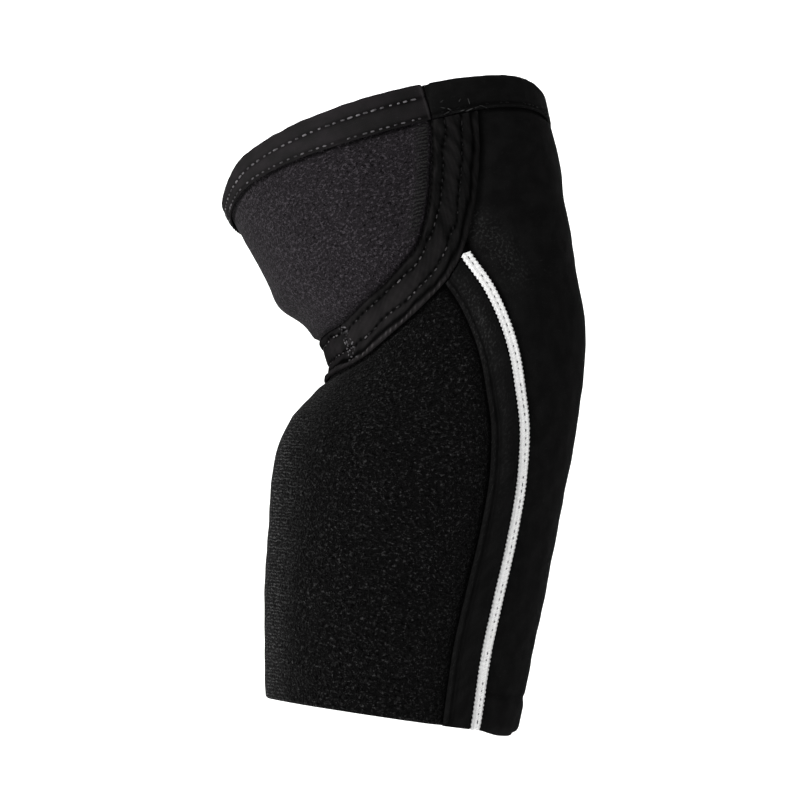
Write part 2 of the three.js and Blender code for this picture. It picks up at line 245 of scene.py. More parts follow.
def on_sleeve(places):
    """Places (turn, reach) put on the cloth's outer face: an egg-shaped section square to the
    centre line, with depth times the cosine and breadth times the sine of the turn."""
    turn, reach = places[..., 0], places[..., 1]
    forward, sideways = np.cos(turn), np.sin(turn)
    share = reach / np.where(reach < 0, FOREARM_LENGTH, UPPER_LENGTH)
    lean, x, z = centre_at(reach - LOWER_RIM_RAKE * forward * np.minimum(share, 0) ** 2
                           + rim_rise(forward, reach))
    depth = ELBOW_DEPTH * np.where(
        forward > 0, section_value("front", share), section_value("back", share))
    back = -depth * forward * (1 + CORNER_FULLNESS * sideways ** 2)
    breadth = ELBOW_BREADTH * section_value("side", share)
    near = breadth * sideways * (1 + CORNER_FULLNESS * forward ** 2)
    return carried(x + back * np.cos(lean), -near, z - back * np.sin(lean))


def dot(a, b):
    return (a * b).sum(-1, keepdims=True)


def unit(a):
    return a / np.linalg.norm(a, axis=-1, keepdims=True)


def facing(places):
    """How the face runs at each place, by differences: round, up and the unit normal outwards."""
    turn_step, reach_step = np.array((0.001, 0)), np.array((0, 0.05))
    round_way = (on_sleeve(places + turn_step) - on_sleeve(places - turn_step)) / 0.002
    up_way = (on_sleeve(places + reach_step) - on_sleeve(places - reach_step)) / 0.1
    return round_way, up_way, unit(np.cross(round_way, up_way))


def lifted(places, lift):
    """Places raised off the face along its normal, by a number or a grid of numbers. Below the
    hems everything lies a little deeper, to make room for the panels' puff, and deeper still at
    the crease inside the elbow."""
    forward = np.cos(places[..., 0])
    free = 1 - smooth((places[..., 1] - 54 - 12 * forward) / 12)
    settled = lift - SETTLE * (0.9 + 0.1 * forward) * free
    settled = settled - CREASE_DEPTH * np.maximum(forward, 0) ** 3 * hump(places[..., 1] - 9, 9)
    return on_sleeve(places) + facing(places)[2] * settled[..., None]


# Lines and grids of places


def route(rows):
    """A smooth curve through the rows: a uniform Catmull-Rom spline with its ends repeated."""
    rows = np.array(rows)
    knots = np.stack([np.radians(rows[:, 0]), rows[:, 1] * np.where(
        rows[:, 1] < 0, FOREARM_LENGTH, UPPER_LENGTH)], -1)
    knots = np.concatenate([knots[:1], knots, knots[-1:]])
    steps = np.linspace(0, len(rows) - 1, ROUTE_STEPS + 1)
    i = np.minimum(steps.astype(int), len(rows) - 2)
    t = (steps - i)[:, None]
    before, start, end, after = knots[i], knots[i + 1], knots[i + 2], knots[i + 3]
    out, into = (end - before) / 2, (after - start) / 2
    return ((2 * start - 2 * end + out + into) * t ** 3
            + (3 * end - 3 * start - 2 * out - into) * t ** 2 + out * t + start)


def straight(start, end, steps=ROUTE_STEPS):
    return np.linspace(start, end, steps + 1)


def level(reach, from_turn=0.0, to_turn=math.pi):
    return straight((from_turn, reach), (to_turn, reach))


def mirrored(line):
    return line * (-1, 1)


def across_back(places):
    return places * (-1, 1) + (2 * math.pi, 0)


def both_sides(half):
    """A half line that starts at the front, with its mirror image before it."""
    return np.concatenate([mirrored(half[:0:-1]), half])


def beside(line, shift):
    """A line moved over the cloth by shift, one number or one for each place, to the right of its
    run seen from outside: the shift vector is solved for turn and reach by least squares."""
    spots = on_sleeve(line)
    run = unit(np.concatenate([spots[1:2] - spots[:1], spots[2:] - spots[:-2],
                               spots[-1:] - spots[-2:-1]]))
    round_way, up_way, out = facing(line)
    aside = np.cross(run, out) * np.reshape(shift, (-1, 1))
    skew = dot(round_way, up_way)
    spread = dot(round_way, round_way) * dot(up_way, up_way) - skew ** 2
    turn = (dot(aside, round_way) * dot(up_way, up_way) - dot(aside, up_way) * skew) / spread
    reach = (dot(aside, up_way) * dot(round_way, round_way) - dot(aside, round_way) * skew) / spread
    return line + np.concatenate([turn, reach], -1)


def meeting(line, other):
    """Where a line first crosses another, as a count of its own steps: each pair of steps is
    solved as two straight lines."""
    run, other_run = np.diff(line, axis=0)[:, None], np.diff(other, axis=0)[None]
    apart = other[None, :-1] - line[:-1, None]

    def cross(a, b):
        return a[..., 0] * b[..., 1] - a[..., 1] * b[..., 0]

    with np.errstate(divide="ignore", invalid="ignore"):
        t = cross(apart, other_run) / cross(run, other_run)
        v = cross(apart, run) / cross(run, other_run)
    hit = (t >= 0) & (t <= 1) & (v >= 0) & (v <= 1)
    step = int(np.argmax(hit.any(1)))
    return step + float(t[step, np.argmax(hit[step])])


def run_of(points, axis=0):
    """The distance of each point from the first, along one axis of a line or grid of points."""
    steps = np.linalg.norm(np.diff(points, axis=axis), axis=-1)
    return np.insert(steps.cumsum(axis), 0, 0, axis)


def read_off(wanted, known, rows):
    """Rows of numbers at the wanted marks, straight between those at the known marks."""
    return np.stack([np.interp(wanted, known, column) for column in rows.T], -1)


def at_step(line, step):
    """The place, or places, of a line at a count, or counts, of its own steps."""
    return read_off(step, np.arange(len(line)), line)


def stretch(line, start, end, shares):
    """Places at the given shares of the distance over the cloth, between two step counts."""
    if start > end:
        return stretch(line, end, start, (1 - shares)[::-1])[::-1]
    inside = np.arange(math.floor(start) + 1, math.ceil(end))
    steps = np.concatenate([[start], inside, [end]])
    places = at_step(line, steps)
    lengths = run_of(on_sleeve(places))
    return read_off(lengths[-1] * shares, lengths, places)


def spaced(line, shares):
    """Places at the given shares of the distance over the cloth along a whole line."""
    return stretch(line, 0.0, float(len(line) - 1), shares)


def length_of(line):
    return float(np.linalg.norm(np.diff(on_sleeve(line), axis=0), axis=-1).sum())


def close_rimmed(low, high, cells, rim):
    """Numbers from low to high: the rim's close steps in from both ends, even cells between."""
    rim = np.array(rim)
    middle = np.linspace(low + rim[-1], high - rim[-1], cells + 1)
    return np.concatenate([low + rim[:-1], middle, high - rim[-2::-1]])


def shares_of(length, cell):
    """Shares of a length, with close steps over the rounded rim at both ends."""
    cells = max(2, round((length - 2 * RIM_CELLS[-1]) / cell))
    return close_rimmed(0, length, cells, RIM_CELLS) / length


def fill_between(bottom, top, left, right, across, up):
    """A grid of places between four border lines: the bottom-to-top blend plus the left-to-right
    blend, less the blend of the four corners."""
    v, c = up[:, None, None], across[None, :, None]
    corners = ((bottom[0] * (1 - c) + bottom[-1] * c) * (1 - v)
               + (top[0] * (1 - c) + top[-1] * c) * v)
    return (bottom[None] * (1 - v) + top[None] * v
            + left[:, None] * (1 - c) + right[:, None] * c - corners)


def ribbon(line, shifts, start, end, shares, growth=1.0):
    """A grid for a ribbon: a lane beside the line for each shift, from right to left, cut where
    it has met the start lines, or the end line, or at a step count of the line."""
    def stop(lane, limit):
        if isinstance(limit, float):
            return limit
        lines = limit if isinstance(limit, tuple) else (limit,)
        return max(meeting(lane, other) for other in lines)

    lanes = [beside(line, shift * growth) for shift in shifts[::-1]]
    return np.stack([stretch(lane, stop(lane, start), stop(lane, end), shares) for lane in lanes])


def away(points, line):
    """The distance from each point to the nearest point of a line of places."""
    marks = on_sleeve(line)
    flat = points.reshape(-1, 3)
    square = dot(flat, flat) + dot(marks, marks).T - 2 * flat @ marks.T
    return np.sqrt(np.maximum(square.min(1), 0)).reshape(points.shape[:-1])


def from_edges(points):
    """The distance of each grid point from the nearest of the grid's four edges, along its rows
    and columns."""
    runs = [(run_of(points, axis), axis) for axis in (0, 1)]
    return np.minimum(*[np.minimum(run, run.take([-1], axis) - run) for run, axis in runs])


def rim_close(points, thickness):
    """How far each face of a wall closes in over the last of its rim, as a quarter circle."""
    radius = RIM_ROUNDING * thickness
    near = np.minimum(from_edges(points), radius)
    return radius - np.sqrt(radius ** 2 - (radius - near) ** 2)


def hump(x, width):
    """A bell of height 1 and that half width."""
    return np.exp(-(x / width) ** 2)


def ripples(points, wave, seed):
    """Soft unevenness from -1 to 1 or so: a sum of sine waves of about that length, whose
    directions and phases are drawn from a seed."""
    count = 9
    draw = np.random.default_rng(seed)
    ways = unit(draw.normal(size=(count, 3))) * draw.uniform(0.7, 1.4, (count, 1))
    phases = draw.uniform(0, 2 * math.pi, count)
    return np.sin(points @ ways.T * (2 * math.pi / wave) + phases).sum(-1) / math.sqrt(count)


# Meshes


def put_mesh(name, points, faces, material, round_up=None, tone=None):
    """A mesh object from points in millimetres and rows of corner numbers, all smooth, with its
    faces turned outwards by the sign of its volume. Its tone marks darken it below 0 and lighten
    it above."""
    corners = points[faces]
    fans = range(1, faces.shape[1] - 1)
    volume = sum(dot(np.cross(corners[:, 0], corners[:, i]), corners[:, i + 1]).sum() for i in fans)
    faces = faces[:, ::-1] if volume < 0 else faces
    mesh = bpy.data.meshes.new(name)
    mesh.vertices.add(len(points))
    mesh.vertices.foreach_set("co", (points * METRES).astype(np.float32).ravel())
    mesh.loops.add(faces.size)
    mesh.loops.foreach_set("vertex_index", faces.astype(np.int32).ravel())
    mesh.polygons.add(len(faces))
    mesh.polygons.foreach_set(
        "loop_start", np.arange(0, faces.size, faces.shape[1], dtype=np.int32))
    mesh.polygons.foreach_set("use_smooth", np.ones(len(faces), dtype=bool))
    mesh.update(calc_edges=True)
    if round_up is not None:
        layer = mesh.uv_layers.new(name="Cloth")
        layer.uv.foreach_set("vector", (round_up[faces.ravel()] * UV_PER_MM).astype(
            np.float32).ravel())
    # The tone marks below 0 are mostly painted shade; above 0 they are painted highlights, dust, the
    # knit's ribs and a few light lines.
    if tone is not None:
        marks = mesh.attributes.new(name="Tone", type="FLOAT", domain="POINT")
        marks.data.foreach_set("value", tone.astype(np.float32))
    mesh.materials.append(material)
    piece = bpy.data.objects.new(name, mesh)
    bpy.context.scene.collection.objects.link(piece)
    return piece


def quads_of(rows, columns, first=0, turned=False):
    """Corner numbers of a grid's cells, row by row."""
    number = first + np.arange(rows * columns).reshape(rows, columns)
    cells = np.stack([number[:-1, :-1], number[:-1, 1:], number[1:, 1:], number[1:, :-1]], -1)
    cells = cells.reshape(-1, 4)
    return cells[:, ::-1] if turned else cells


def closed_cloth(name, outer, inner, round_up, material, tone):
    """A closed wall between two matching grids of points, joined along all four edges. The tone
    marks are on the outer face."""
    rows, columns = outer.shape[:2]
    count = rows * columns
    number = np.arange(count).reshape(rows, columns)
    loop = np.concatenate([number[0, :-1], number[:-1, -1], number[-1, :0:-1], number[:0:-1, 0]])
    following = np.roll(loop, -1)
    rim = np.stack([loop, loop + count, following + count, following], -1)
    faces = np.concatenate([
        quads_of(rows, columns), quads_of(rows, columns, count, turned=True), rim])
    points = np.concatenate([outer.reshape(-1, 3), inner.reshape(-1, 3)])
    marks = np.tile(round_up.reshape(-1, 2), (2, 1))
    tones = np.append(np.broadcast_to(tone, (rows, columns)), np.zeros(count))
    return put_mesh(name, points, faces, material, marks, tones)


def cloth_over(name, places, under, over, material, relief, tone, round_up=None):
    """A wall over a grid of places between two lifts. Its outer face has the relief, and both
    faces close in to each other over the last of the rim."""
    close = rim_close(on_sleeve(places), over - under)
    outer = lifted(places, over + relief - close)
    inner = lifted(places, under + close)
    marks = places * (MEAN_RADIUS, 1) if round_up is None else round_up
    return closed_cloth(name, outer, inner, marks, material, tone)


# The lines that the pieces share. The band's line starts at the front of the near side.
band_half = route(BAND_ROUTE)
band_middle = len(band_half) - 1
band_line = both_sides(band_half)
tape_line = route(TAPE_ROUTE)


def near_part(line):
    """The near side's half of a line that runs beside the band on both sides."""
    return line[band_middle:]


def band_growth(reach):
    """How much wider the curved band is, growing up each side."""
    return 1 + BAND_GROWTH * rising(reach, 22, 62)


top_line = level(PANEL_TOP)
foot_line = level(-FOREARM_LENGTH)
above_band = near_part(beside(band_line, -SEAM_GAP / 2))
below_band = near_part(beside(band_line, SEAM_GAP / 2))
front_of_seam = beside(tape_line, BACK_SEAM_SHIFT + SEAM_GAP / 2)
back_of_seam = beside(tape_line, BACK_SEAM_SHIFT - SEAM_GAP / 2)
strip_line = beside(tape_line, STRIP_SHIFT + HALF_STRIP)
band_reach = HALF_BAND * band_growth(band_line[:, 1]) + LAY_GAP
band_front_edge = near_part(beside(band_line, -band_reach))
band_back_edge = near_part(beside(band_line, band_reach))
joint_at = meeting(near_part(band_line), straight(
    (BAND_JOINT_TURN, -UPPER_LENGTH), (BAND_JOINT_TURN, UPPER_LENGTH)))
hem_corner = at_step(band_front_edge, meeting(
    band_front_edge, level(UPPER_LENGTH - FRONT_HEM_DEPTH)))
slit_turn = HEM_SLIT / float(np.linalg.norm(facing(hem_corner[None])[0]))


# The cloth panels. An edge is how a panel looks beside a trim or hem: the depth of its groove, the
# length of its rise and the strength of the painted shade beyond.

Edge = namedtuple("Edge", "groove rise shade")


def beside_trim(past, edge):
    """How a panel rises beside a trim sewn over it, by the distance past the trim's edge: level
    under the trim, a groove at its edge, a small rolled lip, then a soft rise to the full puff."""
    sunk = edge.groove * hump(past - 0.45, GROOVE_WIDTH)
    lip = 0.2 * hump(past - 1.9, 0.7)
    return (PUFF - lip) * smooth((past - 0.5) / edge.rise) + lip - sunk


def panel_look(places, seed, trims, hem_foot=None, hem_edge=None):
    """The outer face's relief and tone, and the distances past each trim. The relief is the lowest
    of the rises beside each trim, with a soft unevenness where the panel is free; the tone is painted
    shade in each trim's groove, and by the edge's shade beyond it and below the hem. A trim is its
    line, half width and edge."""
    points = on_sleeve(places)
    edges = [edge for line, half, edge in trims]
    past = [away(points, line) - half for line, half, edge in trims]
    sides = [beside_trim(*pair) for pair in zip(past, edges)]
    # Painted shade in each groove and beyond each edge.
    tone = -sum(0.8 * hump(distance - 0.3, GROOVE_WIDTH) + edge.shade * hump(distance, 3.2)
                for distance, edge in zip(past, edges))
    if hem_edge is not None:
        below = hem_foot - places[..., 1]
        sides.append(beside_trim(below, hem_edge))
        tone = tone - hem_edge.shade * hump(below - 0.2, 0.6)
    rise = np.minimum.reduce(sides)
    uneven = 0.16 * ripples(points, 26, seed) + 0.08 * ripples(points, 9, seed + 1)
    return rise + smooth(rise / PUFF) * uneven, tone, past


def degrees_aside(places):
    """The turn either way from the front, in degrees."""
    return np.degrees(np.abs(places[..., 0]))


def from_front(places):
    """The turn of places on the back, in degrees and from the nearer side."""
    turn = np.degrees(places[..., 0])
    return np.minimum(turn, 360 - turn)


def half_band_at(places):
    return HALF_BAND * band_growth(places[..., 1])


def hem_drop(turn):
    """How far the front hem's foot hangs lower, more towards its ends and less than 0 at the very
    front, where it is raised."""
    turn = np.degrees(np.abs(turn))
    raised = 1 - rising(turn, 15, 77)
    return FRONT_HEM_DROP * rising(turn, 52, 102) - FRONT_HEM_RAISE * raised


def upper_front_panel(material):
    """The charcoal knit: ribbed beside the band's upper part, with painted shade at the front, towards
    the sides, in the groove beside the band and under the front hem, and hanging over the crease at
    the very front."""
    knee_turn = math.radians(82)
    knee = meeting(above_band, straight((knee_turn, 0), (knee_turn, UPPER_LENGTH)))
    rim_side = meeting(above_band, top_line)
    up = shares_of(length_of(above_band[int(knee):int(rim_side) + 1]), UPPER_ROW)
    side = stretch(above_band, knee, rim_side, up)
    across = shares_of(2 * length_of(level(PANEL_TOP, 0, side[-1, 0])), PANEL_CELL)
    bottom_line = both_sides(above_band[:int(knee) + 1])
    bottom_line[0], bottom_line[-1] = mirrored(side[0]), side[0]
    bottom = spaced(bottom_line, across)
    top = spaced(level(PANEL_TOP, -side[-1, 0], side[-1, 0]), across)
    places = fill_between(bottom, top, mirrored(side), side, across, up)
    relief, tone, (past_band,) = panel_look(
        places, 11, [(band_line, half_band_at(places), Edge(0.5, 4, 0.0))],
        UPPER_LENGTH - FRONT_HEM_DEPTH - hem_drop(places[..., 0]), Edge(0.4, 9, 0.8))
    aside, reach = degrees_aside(places), places[..., 1]
    ribbed = rising(past_band, 1, 1.8) * (1 - rising(past_band, 2.5, 8)) * rising(reach, 30, 46)
    # Painted shade at the very front and towards the sides, for how the light falls there.
    front_shade = 0.16 * (1 - rising(aside, 0, 34))
    side_shade = 0.26 * (1 - 0.5 * rising(reach, 52, 66)) * rising(aside, 62, 90)
    shade = front_shade + side_shade
    overhang = hump(past_band - 20, 4) - 0.9 * hump(past_band - 9.5, 6)
    overhang = overhang * (1 - rising(aside, 15, 45))
    return cloth_over("upper_front_knit", places, -WALL, 0, material, relief + overhang,
                      tone - shade * (1 - ribbed) + 0.95 * ribbed)


def forearm_panel(material):
    """The terry, with painted shade towards its sides, in the fold at the front's top, and in the
    grooves beside and beyond the band and strips.
    """
    corner = meeting(below_band, front_of_seam)
    corner_on_seam = meeting(front_of_seam, below_band)
    foot = meeting(front_of_seam, foot_line)
    up = shares_of(length_of(front_of_seam[int(corner_on_seam):int(foot)]), PANEL_ROW)
    side = stretch(front_of_seam, foot, corner_on_seam, up)
    border = both_sides(stretch(below_band, 0.0, corner, np.linspace(0, 1, ROUTE_STEPS + 1)))
    across = shares_of(length_of(border), PANEL_CELL)
    bottom = spaced(level(-FOREARM_LENGTH, -side[0, 0], side[0, 0]), across)
    places = fill_between(bottom, spaced(border, across), mirrored(side), side, across, up)
    # Beside the strips a painted shadow darkens the terry past the groove.
    by_strip = Edge(0.5, 5, 0.45)
    relief, tone, _ = panel_look(places, 21, [
        (band_line, HALF_BAND, Edge(0.3, 3, 0.2)), (strip_line, HALF_STRIP, by_strip),
        (mirrored(strip_line), HALF_STRIP, by_strip)])
    aside = degrees_aside(places)
    # Painted shade in the fold at the front's top and towards the sides.
    in_fold = (1 - rising(aside, 0, 50)) * rising(places[..., 1], -42, -20)
    return cloth_over("forearm_terry", places, -WALL, 0, material, relief,
                      tone - 0.2 * rising(aside, 60, 100) - 0.5 * in_fold)


def back_panel(material):
    """The jersey from rim to rim: swollen and then rounded off under its row of stitches at the
    foot, with a patch of dust beside the top of each tape, and painted shade in the dip along that
    row, in the grooves beside the band and tapes, and under the back hem."""
    corner = meeting(below_band, back_of_seam)
    corner_on_seam = meeting(back_of_seam, below_band)
    foot = meeting(back_of_seam, foot_line)
    rim_side = meeting(below_band, top_line)
    fine_shares = np.linspace(0, 1, ROUTE_STEPS + 1)
    below = stretch(back_of_seam, foot, corner_on_seam, fine_shares)
    above = stretch(below_band, corner, rim_side, fine_shares)
    whole_side = np.concatenate([below, above[1:]])
    side = spaced(whole_side, shares_of(length_of(whole_side), PANEL_ROW))
    across = shares_of(length_of(straight(side[0], across_back(side[0]))), PANEL_CELL)
    places = side[:, None] + (across_back(side) - side)[:, None] * across[None, :, None]
    places = foot_dropped(places)
    near_trims = ((near_part(band_line), half_band_at(places), Edge(0.35, 4, 0.0)),
                  (tape_line, HALF_TAPE, Edge(0.3, 4, 0.0)))
    trims = [(line, half, edge) for near_line, half, edge in near_trims
             for line in (near_line, across_back(near_line))]
    relief, tone, _ = panel_look(
        places, 31, trims, UPPER_LENGTH - BACK_HEM_DEPTH, Edge(0.1, 1.6, 0.45))
    past_stitch = HEM_STITCH_REACH - places[..., 1]
    # The dip along the foot's row of stitches is darkened with painted shade.
    stitch_dip = hump(past_stitch, 0.8)
    swelling = 0.5 * smooth(past_stitch / 3) * smooth(relief / PUFF)
    to_foot = np.clip(1 - (places[..., 1] + FOREARM_LENGTH) / FOOT_ROUND, 0, 1)
    from_tape = rising(from_front(places), 129, 147)
    rounding = FOOT_CURL * from_tape * (1 - np.sqrt(1 - to_foot ** 2))
    patch = straight((math.radians(106), 35), (math.radians(117), 20), 20)
    points = on_sleeve(places)
    dust = sum(hump(away(points, line), DUST_WIDTH) for line in (patch, across_back(patch)))
    return cloth_over("back_jersey", places, -WALL, 0, material,
                      relief + swelling - rounding - 0.35 * stitch_dip,
                      tone + DUST * dust - 0.2 * stitch_dip)


def foot_dropped(places):
    """The back panel's foot hangs a little lower towards the back."""
    turn, reach = places[..., 0], places[..., 1]
    aside = rising(from_front(places), 126, 152)
    return np.stack([turn, reach - FOOT_DROP * aside * rising(-reach, 100, 122)], -1)


# Hems: a profile of reach and lift, folded round a rim


def fold(foot, rim, over, under, thickness):
    """The outer and inner profile of a folded hem: up the outside, half round the rim, and down
    the inside. Each profile point has its reach and lift."""
    half = (over - under) / 2
    middle = (over + under) / 2
    turn_at = rim - half
    legs = max(6, round((turn_at - foot) / FOLD_CELL))
    rise = np.linspace(foot, turn_at, legs + 1)
    angles = np.linspace(0, math.pi, 22)[1:-1]

    def side(radius):
        reach = np.concatenate([rise, turn_at + radius * np.sin(angles), rise[::-1]])
        lift = np.concatenate([np.full(legs + 1, middle + radius),
                               middle + radius * np.cos(angles), np.full(legs + 1, middle - radius)])
        return np.stack([reach, lift], -1)

    return side(half), side(half - thickness)


def folded_cloth(name, outside, inside, turns, thickness, material, relief, tone, shape_of):
    """Cloth folded along a rim and carried round the turns. The relief, a grid of numbers, is
    added away from the cloth's own middle, and its ends and legs close in to a rounded edge.
    shape_of moves the places to the hem's own outline."""
    def grid(profile):
        shape = (len(profile), len(turns))
        places = np.stack(np.broadcast_arrays(turns[None], profile[:, :1]), -1)
        return shape_of(places), np.broadcast_to(profile[:, 1:], shape)

    outer_places, outer_lift = grid(outside)
    inner_places, inner_lift = grid(inside)
    outer, inner = lifted(outer_places, outer_lift), lifted(inner_places, inner_lift)
    close = rim_close(outer, thickness)[..., None]
    out = unit(outer - inner)
    round_up = np.stack([outer_places[..., 0] * MEAN_RADIUS,
                         np.broadcast_to(run_of(outside)[:, None], relief.shape)], -1)
    return closed_cloth(name, outer + out * (relief[..., None] - close), inner + out * close,
                        round_up, material, tone)


def hem_turns(start, end, reach=UPPER_LENGTH):
    """Turns at even distances round the sleeve at a reach."""
    line = level(reach, start, end)
    return spaced(line, shares_of(length_of(line), HEM_CELL))[:, 0]


def hem_share(reach):
    """0 at the front hem's foot and 1 at the upper rim."""
    return np.clip((reach - UPPER_LENGTH + FRONT_HEM_DEPTH) / FRONT_HEM_DEPTH, 0, 1)


def front_hem_shape(places):
    """The front hem's foot hangs lower towards its ends and is raised at the front, and its ends
    lean back a little towards the rim."""
    turn, reach = places[..., 0], places[..., 1]
    lower = hem_drop(turn) * (1 - smooth(1.5 * hem_share(reach)))
    return np.stack([turn * (1 - END_LEAN * hem_share(reach)), reach - lower], -1)


def back_hem_shape(places):
    """The back hem's ends lean as far back as the front hem's, so that the slit stays even."""
    turn, reach = places[..., 0], places[..., 1]
    lean = END_LEAN * hem_corner[0] / (math.pi - hem_corner[0] - slit_turn)
    return np.stack([math.pi + (turn - math.pi) * (1 + lean * hem_share(reach)), reach], -1)


def upper_hem(name, depth, turns, rows, material, seed, shape_of, slit_end=None):
    """A U of cloth over the upper rim, dipped along its stitches, with painted shade in the dips, and
    faintly puffed between. The back hem thins to its foot, with a faint light line just above it, and
    beyond the slit's far edge it is sunk and darkened with painted shade; the front hem darkens
    towards its ends and has a light line along its end beside the slit."""
    foot = UPPER_LENGTH - depth
    outside, inside = fold(foot, UPPER_LENGTH, HEM_TOP, UNDER_HEM - HEM_WALL, HEM_WALL)
    reach = outside[:, :1]
    places = shape_of(np.stack(np.broadcast_arrays(turns[None], reach), -1))
    spots = on_sleeve(places)
    uneven = 0.1 * ripples(spots, 11, seed) + 0.05 * ripples(spots, 4.5, seed + 1)
    dips = sum(hump(reach - at, 0.6) for at in rows)
    relief = 0.12 - 0.32 * dips + uneven * smooth((reach - foot) / 2)
    # Painted shade in the dips along the stitches.
    tone = -0.5 * dips
    if slit_end is None:
        to_end = rising(degrees_aside(places), 60, 102)
        from_end = hem_corner[0] - np.abs(places[..., 0])
        tone = tone - 0.38 * to_end + 0.8 * hump(from_end - SLIT_EDGE, 0.005)
    else:
        relief = relief - 0.35 * hump(reach - foot, 1.4)
        tone = tone + 0.25 * hump(reach - foot - 0.6, 0.45)
        from_end = np.minimum(places[..., 0], 2 * math.pi - places[..., 0])
        sunk = smooth((slit_end + SLIT_SPREAD * hem_share(reach) - from_end) / SLIT_EDGE)
        # Painted shade where the hem is sunk beyond the slit's far edge.
        relief, tone = relief - 0.5 * sunk, tone - 0.3 * sunk
    return folded_cloth(name, outside, inside, turns, HEM_WALL, material,
                        np.clip(relief, -0.6, 0.4), tone, shape_of)


def front_hem(material):
    turns = hem_turns(-hem_corner[0], hem_corner[0])
    return upper_hem("front_binding", FRONT_HEM_DEPTH, turns, FRONT_HEM_STITCHES, material, 41,
                     front_hem_shape)


def back_hem(material):
    start = hem_corner[0] + slit_turn
    turns = hem_turns(start, 2 * math.pi - start)
    return upper_hem("back_binding", BACK_HEM_DEPTH, turns, BACK_HEM_STITCHES, material, 43,
                     back_hem_shape, start)


def lower_hem(material):
    """The back panel's foot turned in: the leg up the inside, whose lower end rolls in under the
    panel's rounded rim."""
    start = at_step(back_of_seam, meeting(back_of_seam, foot_line))[0]
    turns = hem_turns(start, 2 * math.pi - start, -FOREARM_LENGTH)
    low, deep = -FOREARM_LENGTH, UNDER_HEM - HEM_WALL
    radius, rows = 1.2, 24
    rise = np.linspace(low + LOWER_HEM_DEPTH, low + radius, rows)
    bend = np.linspace(0, math.pi / 2, 14)[1:]

    def profile(inset):
        part = radius - inset
        reach = np.concatenate([rise, low + radius - part * np.sin(bend)])
        lift = np.concatenate([np.full(rows, deep + inset), deep + radius - part * np.cos(bend)])
        return np.stack([reach, lift], -1)

    outside, inside = profile(0.0), profile(HEM_WALL)
    dips = 0.3 * hump(outside[:, :1] - HEM_STITCH_REACH + 2, 0.7)
    return folded_cloth("foot_binding", outside, inside, turns, HEM_WALL, material,
                        np.broadcast_to(-dips, (len(outside), len(turns))), 0.0, foot_dropped)


# Trims over the seams. A trim's relief and tone go by the shift across it from its middle line,
# the distance along it and the reach.


def row_shift(row, along, reach):
    """Where a row of stitches runs across the band: it moves evenly from its place at the joint
    to its place at the rim, by the reach, and wanders a little along its run."""
    low, high = BAND_ROWS[row]
    wander = 0.24 * np.sin(along / 4.3) + 0.14 * np.sin(along / 1.9 + 1)
    return low + (high - low) * rising(reach, 12, 72) + wander


def rumpled(shifts, along):
    """Shifts across the band, moved a little to and fro along its run and across it, so that its
    lines look sewn by hand; and the distance along."""
    w, s = shifts[::-1, None], along
    aside = 0.26 * np.sin(s / 2.7 + 0.5 * w) + 0.16 * np.sin(s / 1.25 + 0.9 * w + 2 * np.sin(s / 6))
    return w + aside * (1 - hump(np.abs(w) - HALF_BAND, 0.8)), s


def band_relief(shifts, along, reach):
    """A folded binding: a narrow fold outside the first row of stitches, a flat middle, a dip at
    the second row, a groove, and a ridge along the lower edge, gathered in uneven lumps."""
    w, s = rumpled(shifts, along)
    pull = 0.7 + 0.3 * np.cos(2 * math.pi * s / STITCH_PITCH)
    rows = sum(0.5 * hump(w - row_shift(row, s, reach), 0.6) * pull for row in BAND_ROWS)
    lip = 0.2 * hump(w + BAND_RIDGE, 0.8)
    soft = 0.16 * hump(w + 1.2, 2.2) + 0.16 * hump(w - 3.7, 0.9)
    groove = 0.5 * hump(w - BAND_GROOVE, 0.45)
    ridge = (0.42 + 0.34 * lumps_along(s, reach)) * hump(w - BAND_RIDGE, 0.75)
    creases = (0.1 * np.sin(s * 1.15 + 0.5 * w + 2 * np.sin(s / 9))
               + 0.1 * np.sin(s * 1.9 - 0.9 * w + 2 * np.sin(s / 5) + 1)) * hump(w + 0.6, 4.0)
    return lip + soft + ridge + creases - rows - groove


def lumps_along(along, reach):
    """How the gathered ridge swells and sinks, from -1 to 1: strongly over the elbow's inside,
    and hardly at all farther up."""
    wander = 1.6 * np.sin(along / 3.7) + 1.1 * np.sin(along / 1.6 + 2)
    wave = np.sin(2 * math.pi * along / 2.5 + wander) * (0.75 + 0.25 * np.sin(along / 2.9))
    return wave * (1 - 0.85 * rising(reach, 18, 34))


